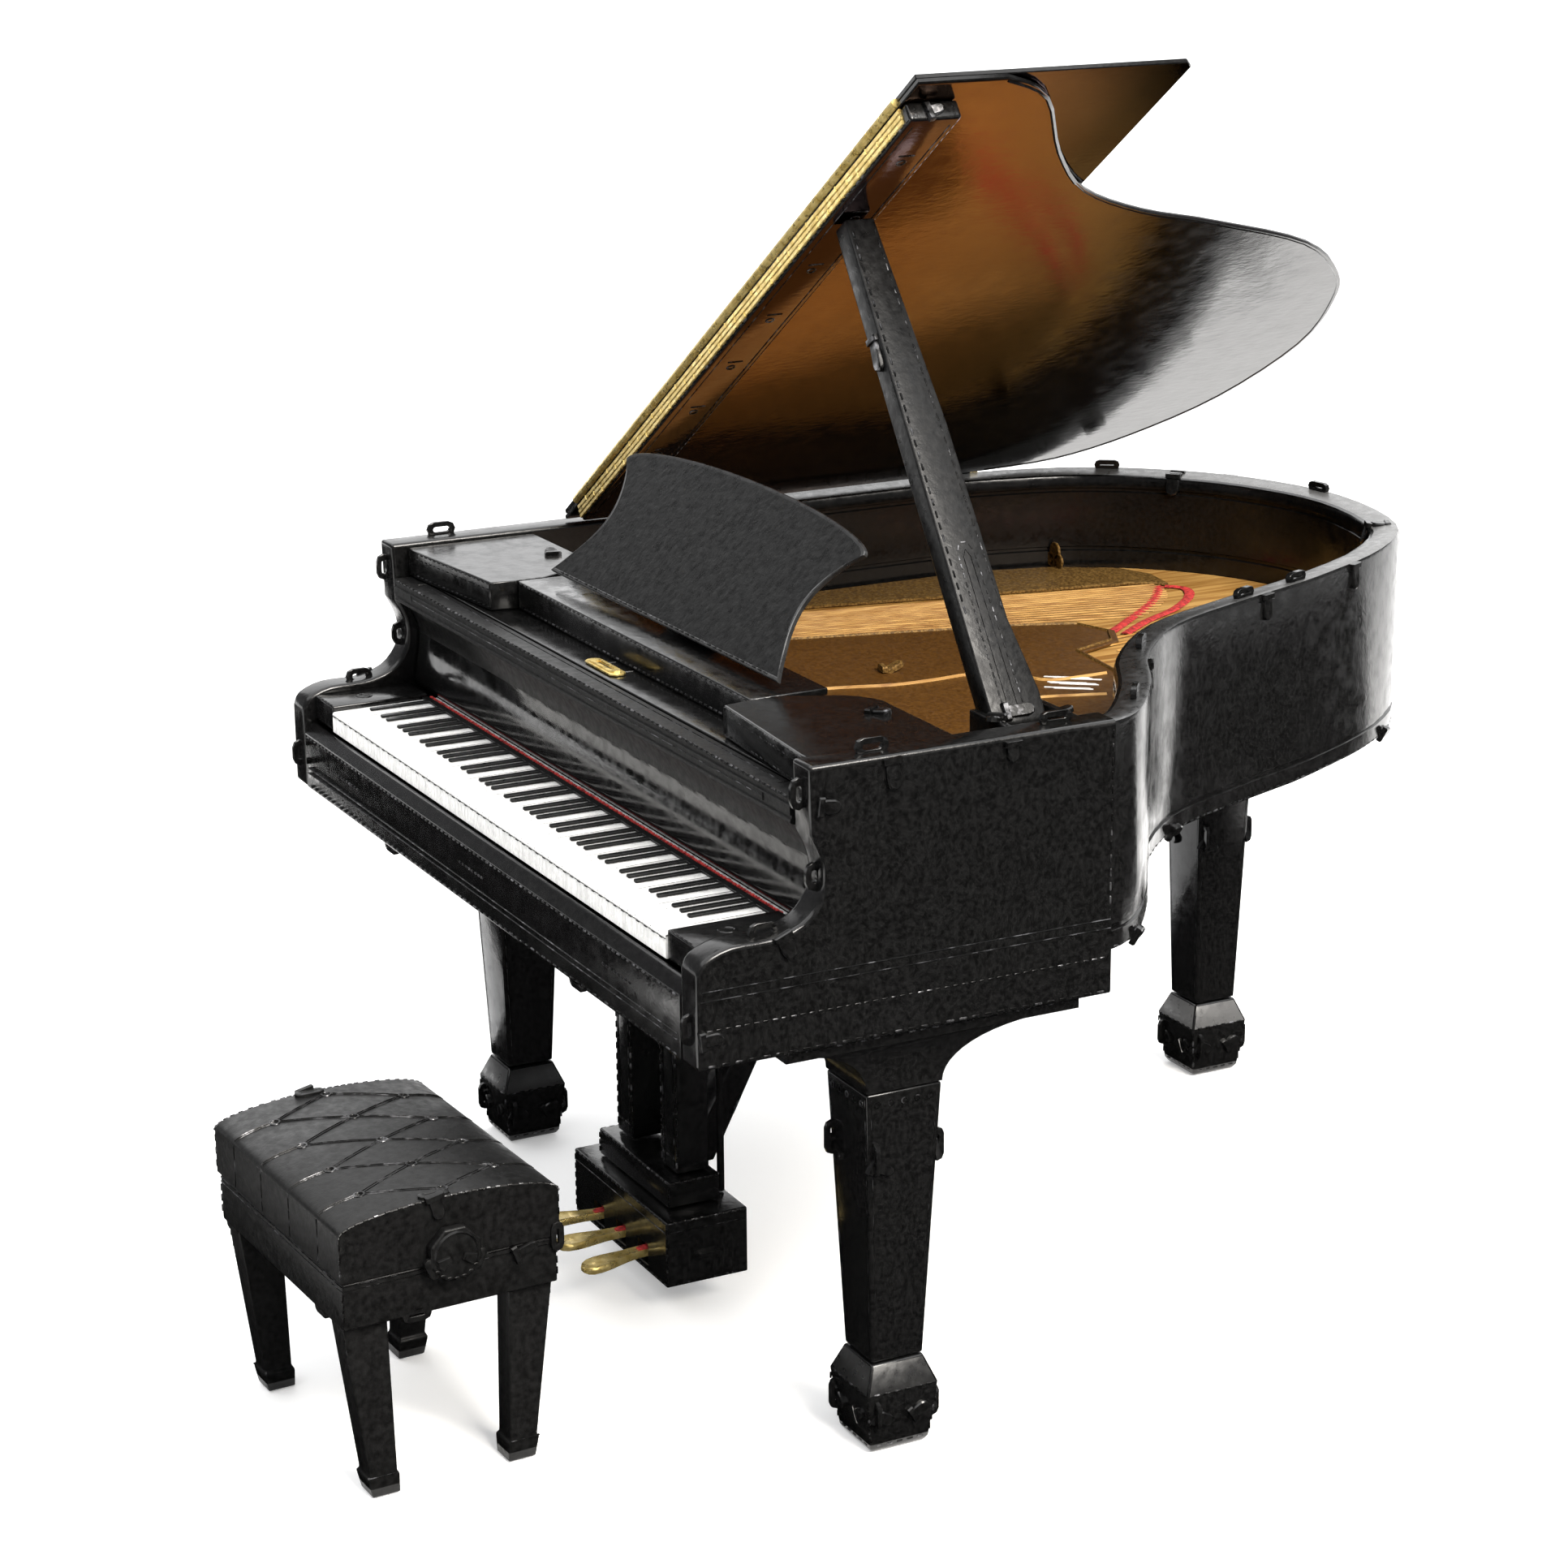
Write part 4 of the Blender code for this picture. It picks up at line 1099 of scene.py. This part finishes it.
def leg_tabs(name):
    """Tabs and loops on the four faces of a leg, at the height of its collar, and on its foot."""
    x, y, top = LEGS[name]
    low, high = LEG_HALVES
    kit = Kit()
    half = low + (high - low) * (20.0 - 6.2) / (top - 6.2)
    for normal, along in ((X, Y), (-X, -Y), (Y, -X), (-Y, X)):
        at = Vector((x, y, 0)) + normal * (half + 0.02)
        kit.tab(at - along * (half - 0.9) + Z * 19.9, normal, along - Z * 0.5, 1.7, 0.75, 5, 0)
        kit.loop(at - normal * 0.4 + along * (half + 0.1) + Z * 20.6, along, Z, 2.3, 0.95)
        foot = Vector((x, y, 0)) + normal * 2.38
        kit.tab(foot - along * 1.35 + Z * 2.5, normal, along - Z * 0.5, 1.5, 0.85, 5, 0)
        kit.tab(foot + along * 1.3 + Z * 2.6, normal, along + Z * 0.6, 1.4, 0.8, 5, 0)
        kit.loop(foot - normal * 0.5 + along * 2.4 + Z * 2.7, along, Z, 2.2, 0.95)
    kit.piece(f"leg_{name}_tabs")


def corbel(name, side):
    """The bracket that spreads from the leg into the case, with hollow quarter-round sides."""
    x, y, _ = LEGS["front_" + name]
    kit = Kit()
    rings = []
    for t in [sin(pi / 2 * i / 14) for i in range(15)]:
        spread = 1 - sqrt(max(0.0, 1 - t * t))
        inner, outer = x - side * (2.7 + 3.2 * spread), x + side * (2.7 + 1.9 * spread)
        y0, y1, z = y - 2.7 - 6.6 * spread, y + 2.7 + 8.8 * spread, 25.1 + t * 3.9
        rings.append([(inner, y0, z), (outer, y0, z), (outer, y1, z), (inner, y1, z)])
    rings.append([(a, b, 29.8) for a, b, _ in rings[-1]])
    kit.loft(rings)
    kit.piece(f"corbel_{name}_sheet", "case", "black_lacquer", ["corbel_" + name], 30)
    kit = Kit()
    last = rings[-1]
    for a, b in zip(last, last[1:] + last[:1]):
        a, b = Vector(a) - Z * 0.2, Vector(b) - Z * 0.2
        kit.dashes(a, b, (b - a).cross(Z), *MIDDLE, 0.14, 0.05)
    kit.tab((x - side * 0.4, y + 8.4, 28.2), (0, 0.5, -1), Y, 1.9, 1.1, 16, 20)
    kit.tab((x + side * 0.4, y - 6.6, 28.6), (0, -0.5, -1), -Y, 1.8, 1.1, 16, 15)
    kit.folds(f"corbel_{name}_folds")


def legs():
    for name in LEGS:
        leg_sheets(name)
        leg_folds(name)
        leg_tabs(name)
    for name, side in SIDES:
        corbel(name, side)


# ---- lyre

LYRE_HALF = 7.75


def lyre_sheets():
    for node in ("lyre_box", "lyre_step", "lyre_pillar_left", "lyre_pillar_right", "lyre_brace"):
        skin(node, 0.14)
    for node in ("lyre_rod_left", "lyre_rod_right"):
        skin(node, 0.05, 1, 40)


def lyre_folds():
    """Dashed folds and ruled lines on the box, the step, the pillars and the brace."""
    kit = Kit()
    half, front, back, low, top = LYRE_HALF, 10.45, 16.75, 2.5, 7.4
    for z in (top - 0.1, low + 0.15):
        lean = 0.6 if z > 5 else -0.6
        kit.dashes(*line((-half, half), front, z), (0, -1, lean), *FINE, 0.15, 0.06)
        for side in (-1, 1):
            kit.dashes(*line(side * half, (front, back), z), (side, 0, lean), *FINE, 0.15, 0.06)
    for side in (-1, 1):
        kit.ridge(line(side * half, (front + 0.1, back - 0.1), 6.6), X * side)
        corner = front + 0.03
        kit.dashes(*line(side * half, corner, (low + 0.3, top - 0.3)), (side, -1, 0),
                   *FINE, 0.15, 0.05)
    kit.ridge(line((-half + 0.1, half - 0.1), front, 6.6), -Y)
    x, y, z = 5.8, 11.6, 9.38
    kit.dashes(*line((-x, x), y, z), (0, -1, 0.7), *FINE, 0.15, 0.06)
    for side in (-1, 1):
        step_x, step_y = side * 5.8, 11.6
        kit.dashes(*line(step_x, (step_y, 15.6), 9.38), (side, 0, 0.7), *FINE, 0.15, 0.06)
        kit.dashes(*line(step_x, step_y, (7.6, 9.2)), (side, -1, 0), *SHORT, 0.15, 0.05)
        x, y = side * 3.7, 12.7
        for sx in (-1, 1):
            kit.dashes(*line(x + sx * 1.2, y, (9.8, 29.5)), (sx, -1, 0), *MIDDLE, 0.16, 0.05)
            kit.ridge(line(x + sx * 0.85, y, (9.9, 29.4)), -Y)
        for z in (10.6, 28.4):
            kit.dashes(*line((x - 1.1, x + 1.1), y, z), -Y, *SHORT, 0.16, 0.05)
    for t in (0.15, 0.32, 0.5, 0.68, 0.85):
        at = Vector((1.6, 17.6 + 9.8 * t, 9.6 + 19.4 * t))
        kit.dash(spot(at, X, (0, 0.45, 0.9)), 1.6, 0.24, 0.06)
    kit.folds("lyre_folds")


def lyre_tabs():
    kit = Kit()
    kit.tab((4.5, 13.6, 2.45), -Z, X, 2.0, 1.0, 6, 0)
    kit.tab((-4.5, 13.6, 2.45), -Z, -X, 2.0, 1.0, 6, 0)
    for side in (-1, 1):
        kit.loop((side * LYRE_HALF, 13.6, 4.6), X * side, Y, 2.0, 0.7)
        kit.eyelet((side * 2.45, 13.9, 16.0), X * -side, 0.3)
    kit.piece("lyre_tabs")


def pedal(name, x):
    """A brass leaf that widens to a bulb, dished along its middle, with a red root."""
    kit = Kit(leaning((x, 12.3, 3.75), 0, "X"))
    lean = 0.18 * (x > 0) - 0.18 * (x < 0)
    stations = [(0.55, 0.42, 0.24), (0.0, 0.5, 0.27), (-1.0, 0.5, 0.27), (-2.2, 0.5, 0.27),
                (-3.2, 0.57, 0.27), (-4.1, 0.74, 0.28), (-4.9, 0.92, 0.28), (-5.6, 0.98, 0.28),
                (-6.2, 0.9, 0.27), (-6.6, 0.66, 0.24), (-6.85, 0.3, 0.16)]
    rings = []
    for y, w, h in stations:
        shift = -lean * min(y + 2.0, 0)
        section = [(-w * 0.85, -h), (w * 0.85, -h), (w, -h * 0.5), (w, h * 0.5), (w * 0.85, h),
                   (w * 0.4, h * 0.8), (-w * 0.4, h * 0.8), (-w * 0.85, h), (-w, h * 0.5), (-w, -h * 0.5)]
        rings.append([(shift + a, y, b) for a, b in section])
    kit.loft(rings)
    body = "pedal_" + name
    kit.piece(body + "_leaf", body, "gold", [body], 45)
    kit = Kit(leaning((x, 12.3, 3.75), 0, "X"))
    kit.plate(spot((0, -1.55, 0.22), Z, Y), pill(1.5, 0.86, 4), [(-0.05, 0), (0.06, 0.03), (0.08, 0.1)])
    kit.piece(body + "_root", body, "red_enamel")


def pedals():
    for name, x in (("left", -3.7), ("middle", 0.0), ("right", 3.7)):
        pedal(name, x)


# ---- bench

SEAT_HALF = (10.3, 7.5)
TUFT = 4.6
TUFT_ROW = 4.6
SEAT_EDGE = 18.5
SEAT_ARCH = 1.25
SEAT_FOOT = 15.35


def seat_height(y):
    """The top of the cushion, arched from the front of the bench to its rear."""
    return SEAT_EDGE + SEAT_ARCH * sqrt(max(0.0, 1 - (y / SEAT_HALF[1]) ** 2))


def bench_seat():
    """The cushion as one arched sheet with rolled ends."""
    hx, hy = SEAT_HALF
    kit = Kit(BENCH)
    arch = [(-hy * cos(a), seat_height(hy * cos(a))) for a in (pi * i / 40 for i in range(41))]
    rings = []
    for x, inset in ((-hx, 0.12), (-hx + 0.05, 0.04), (-hx + 0.14, 0),
                     (hx - 0.14, 0), (hx - 0.05, 0.04), (hx, 0.12)):
        section = [(y, z - inset) for y, z in arch]
        section += [(hy, SEAT_FOOT + 0.1), (hy - 0.12, SEAT_FOOT), (0.12 - hy, SEAT_FOOT),
                    (-hy, SEAT_FOOT + 0.1)]
        rings.append([(x, y, z) for y, z in section])
    kit.loft(rings)
    kit.piece("bench_cushion", "bench", "satin_black", ["bench_seat"], 40, [GRAINED_BLACK])


def seam(kit, start, end):
    """A double stitched line that follows the arch between two points of the cushion."""
    a, b = Vector(start), Vector(end)
    aside = (b - a).normalized().cross(Z) * 0.11
    for side in (-1, 1):
        points = [a.lerp(b, i / 14) + aside * side for i in range(15)]
        kit.ridge([(p.x, p.y, seat_height(p.y) + 0.01) for p in points], Z, 0.1, 0.04)


def bench_seams():
    """Buttons joined by seams in one row of diamonds on each side of the crown."""
    hx, hy = SEAT_HALF
    kit = Kit(BENCH)
    buttons = [(k * TUFT, 0.0) for k in range(-2, 3)]
    for side in (-1, 1):
        for k in (-1.5, -0.5, 0.5, 1.5):
            at = (k * TUFT, side * TUFT_ROW, 0)
            buttons.append(at[:2])
            for near in (k - 0.5, k + 0.5):
                seam(kit, at, (near * TUFT, 0, 0))
            seam(kit, at, (k * TUFT, side * (hy - 0.1), 0))
            kit.ridge([(k * TUFT, side * hy, z) for z in (SEAT_FOOT + 0.2, SEAT_EDGE)], Y * side)
        seam(kit, (side * 2 * TUFT, 0, 0), (side * (hx - 0.1), 0, 0))
    for x, y in buttons:
        kit.eyelet((x, y, seat_height(y)), (0, y * 0.03, 1), 0.36)
    for side in (-1, 1):
        kit.dashes((-hx, side * (hy - 0.05), SEAT_EDGE - 0.05), (hx, side * (hy - 0.05), SEAT_EDGE - 0.05),
                   (0, side, 1), 0.7, 0.4, 0.13, 0.06)
        edge = [(side * hx, hy * sin(a), SEAT_EDGE - 0.05 + SEAT_ARCH * cos(a))
                for a in (pi * (i / 24 - 0.5) for i in range(25))]
        for p, q in zip(edge, edge[1:]):
            kit.dashes(p, q, (side, 0, 0.6), 0.62, 0.36, 0.14, 0.06)
        for end in (-1, 1):
            low, high = [(side * hx, end * hy, z) for z in (15.6, 18.3)]
            kit.dashes(low, high, (side, end, 0), *MIDDLE, 0.13, 0.05)
    kit.folds("bench_seams", "bench")


def bench_frame():
    """The box under the cushion: two ruled lines round it and dashed corners."""
    hx, hy = SEAT_HALF
    skin("bench_frame", 0.14, material=GRAINED_BLACK)
    kit = Kit(BENCH)
    for side in (-1, 1):
        x, y = side * (hx - 0.15), side * (hy - 0.15)
        for z in (15.1, 14.8):
            kit.ridge(line((-hx + 0.2, hx - 0.2), y, z), Y * side, 0.12, 0.06)
            kit.ridge(line(x, (-hy + 0.2, hy - 0.2), z), X * side, 0.12, 0.06)
        for end in (-1, 1):
            low, high = [(x, end * (hy - 0.15), z) for z in (12.5, 14.7)]
            kit.dashes(low, high, (side, end, 0), *MIDDLE, 0.13, 0.05)
    kit.folds("bench_frame_folds", "bench")


def bench_tabs():
    """The loops under the frame, and a loop and tabs on each end."""
    hx, hy = SEAT_HALF
    kit = Kit(BENCH)
    for x, y in ((-8.8, -hy + 0.4), (6.2, -hy + 0.4), (-6.0, hy - 0.4), (6.0, hy - 0.4)):
        kit.loop((x, y, 12.2), -Z, X, 2.0, 0.9)
    for side in (-1, 1):
        kit.loop((side * (hx - 0.3), -2.4, 12.2), -Z, Y, 2.0, 0.9)
        kit.loop((side * (hx - 0.5), -0.9, 19.75), X * side, Y, 2.1, 0.8)
        kit.tab((side * hx, -0.9, 19.1), X * side, (0, 0.2, -1), 1.7, 0.8, 6, 0)
        kit.loop((side * hx, hy - 0.3, 15.3), Y, Z, 2.0, 0.9)
        kit.tab((side * (hx - 0.1), hy - 2.4, 14.9), X * side, (0, 1, 0.35), 1.7, 0.6, 6, 0)
    kit.piece("bench_tabs", "bench", "satin_black", materials=[GRAINED_BLACK])


def bench_legs():
    """Four splayed legs, each with a dashed fold on its outer face and a line round its shoe."""
    for row, sy in (("front", -1), ("rear", 1)):
        for end, sx in SIDES:
            skin(f"bench_leg_{row}_{end}", 0.12, material=GRAINED_BLACK)
            kit = Kit(BENCH)
            x = sx * 9.5
            kit.dashes((x, sy * 5.72, 1.8), (x, sy * 7.16, 11.7), (0, sy, 0), 0.82, 0.45, 0.1, 0.03)
            x = sx * 9.6
            kit.ridge(line(x, (sy * 4.0, sy * 6.0), 1.4), X * sx, 0.14, 0.06)
            kit.folds(f"bench_leg_{row}_{end}_folds", "bench")


def bench_knobs():
    """A faceted sheet knob: a rolled rim, a serrated foot and two bent-in tabs with their slots."""
    for end, side in SIDES:
        node = "bench_knob_" + end
        skin(node, 0.16, 3, material=GRAINED_BLACK)
        centre = Vector((side * (SEAT_HALF[0] + 0.8), 0, 16.05))

        def around(degrees, radius, out=0.0):
            turn = radians(degrees)
            return centre + Vector((side * out, radius * cos(turn), radius * sin(turn)))

        kit = Kit(BENCH)
        kit.ridge([around(15 * i, 1.45) for i in range(-2, 15)], X * side, 0.26, 0.14)
        for i in range(7):
            kit.dash(spot(around(215 + 18 * i, 1.62), X * side, Y), 0.34, 0.2, 0.08)
        for degrees in (205, 335):
            kit.plate(spot(around(degrees, 0.95), X * side, around(degrees, 1) - centre),
                      [(-0.5, -0.2), (0.4, -0.42), (0.55, 0), (0.4, 0.42), (-0.5, 0.2)],
                      [(-0.05, 0), (0.14, 0.02), (0.2, 0.1)])
            kit.loop(around(degrees, 1.7, -0.25), around(degrees, 1) - centre,
                     (around(degrees + 90, 1) - centre), 1.5, 0.7)
        kit.piece(node + "_tabs", node, "satin_black", materials=[GRAINED_BLACK])


def bench():
    bench_seat()
    bench_seams()
    bench_frame()
    bench_tabs()
    bench_legs()
    bench_knobs()


# ---- stage

FLOOR_SIZE = 12
WORLD_COLOUR, WORLD_STRENGTH = (0.97, 0.98, 1.0, 1), 0.22
LENS, SENSOR, SHIFT = 80.67, 36, (0.0167, 0.0165)
CLIP = (0.01, 20)
CAMERA_AT = (0.211167, -0.114880, 0.106302)
CAMERA_TURNS = ((63.2203, "Z"), (72.898, "X"), (-0.5966, "Z"))


def stage_floor():
    bpy.ops.mesh.primitive_plane_add(size=FLOOR_SIZE, location=(0, 0, -0.0001))
    floor = bpy.context.object
    floor.name = "floor"
    floor.data.materials.append(finish_material(
        "floor_paper", mottle(40, 2, 0.87, 0.89), mottle(20, 2, 0.7, 0.8), [(2, 2, 0.01)],
        Emission_Color=(1, 1, 1, 1), Emission_Strength=0.3))


def dark_flag(name, at, size):
    """A black card on the floor, seen only in reflections, that keeps the lacquer near it dark."""
    bpy.ops.mesh.primitive_plane_add(size=1, location=at)
    flag = bpy.context.object
    flag.name = name
    flag.scale = (*size, 1)
    flag.data.materials.append(finish_material(
        name + "_cloth", mottle(40, 2, 0.003, 0.005), mottle(20, 2, 0.9, 1.0), [(2, 2, 0.01)],
        Specular_IOR_Level=0.0))
    flag.visible_camera = False
    flag.visible_diffuse = False
    flag.visible_shadow = False


def area_light(name, at, target, size, power, colour=(1, 1, 1)):
    light = bpy.data.lights.new(name, "AREA")
    light.shape = "RECTANGLE"
    light.size, light.size_y = size
    light.energy = power
    light.color = colour
    lamp = bpy.data.objects.new(name, light)
    lamp.location = at
    lamp.rotation_euler = (Vector(target) - Vector(at)).to_track_quat("-Z", "Y").to_euler()
    bpy.context.scene.collection.objects.link(lamp)


def studio():
    """A wide overhead light, a backdrop and a warm fill, with black cards round the object."""
    scene = bpy.context.scene
    world = bpy.data.worlds.new("studio")
    world.use_nodes = True
    background = world.node_tree.nodes["Background"].inputs
    background["Color"].default_value = WORLD_COLOUR
    background["Strength"].default_value = WORLD_STRENGTH
    scene.world = world
    scene.view_settings.view_transform = "Standard"
    area_light("overhead", (0, 0, 1.6), (0, 0, 0), (3.4, 3.4), 88)
    area_light("backdrop", (-1.1, 0.75, 0.55), (0, 0, 0.05), (2.4, 0.95), 11)
    area_light("case_fill", (0.42, 0.06, 0.40), (-0.01, 0.0, 0.04), (0.25, 0.25), 6, (1.0, 0.95, 0.88))
    dark_flag("flag_right", (0.60, -0.05, 0.0004), (1.1, 1.5))
    dark_flag("flag_rear", (0.30, 0.55, 0.0005), (0.64, 0.9))
    dark_flag("flag_under", (0.005, 0.005, 0.0006), (0.1, 0.17))
    dark_flag("flag_front", (-0.1675, -0.1425, 0.0007), (0.245, 0.215))


def camera():
    """A long lens a little higher than the open lid, looking down on the keys from the treble side."""
    data = bpy.data.cameras.new("camera")
    data.sensor_width = SENSOR
    data.lens = LENS
    data.shift_x, data.shift_y = SHIFT
    data.clip_start, data.clip_end = CLIP
    camera_object = bpy.data.objects.new("camera", data)
    pose = Matrix.Translation(CAMERA_AT)
    for degrees, axis in CAMERA_TURNS:
        pose = pose @ Matrix.Rotation(radians(degrees), 4, axis)
    camera_object.matrix_world = pose
    bpy.context.scene.collection.objects.link(camera_object)
    bpy.context.scene.camera = camera_object


case_shell()
keyboard()
shelf()
music_desk()
lid_group()
prop()
deck()
legs()
lyre_sheets()
lyre_folds()
lyre_tabs()
pedals()
bench()
stage_floor()
studio()
camera()
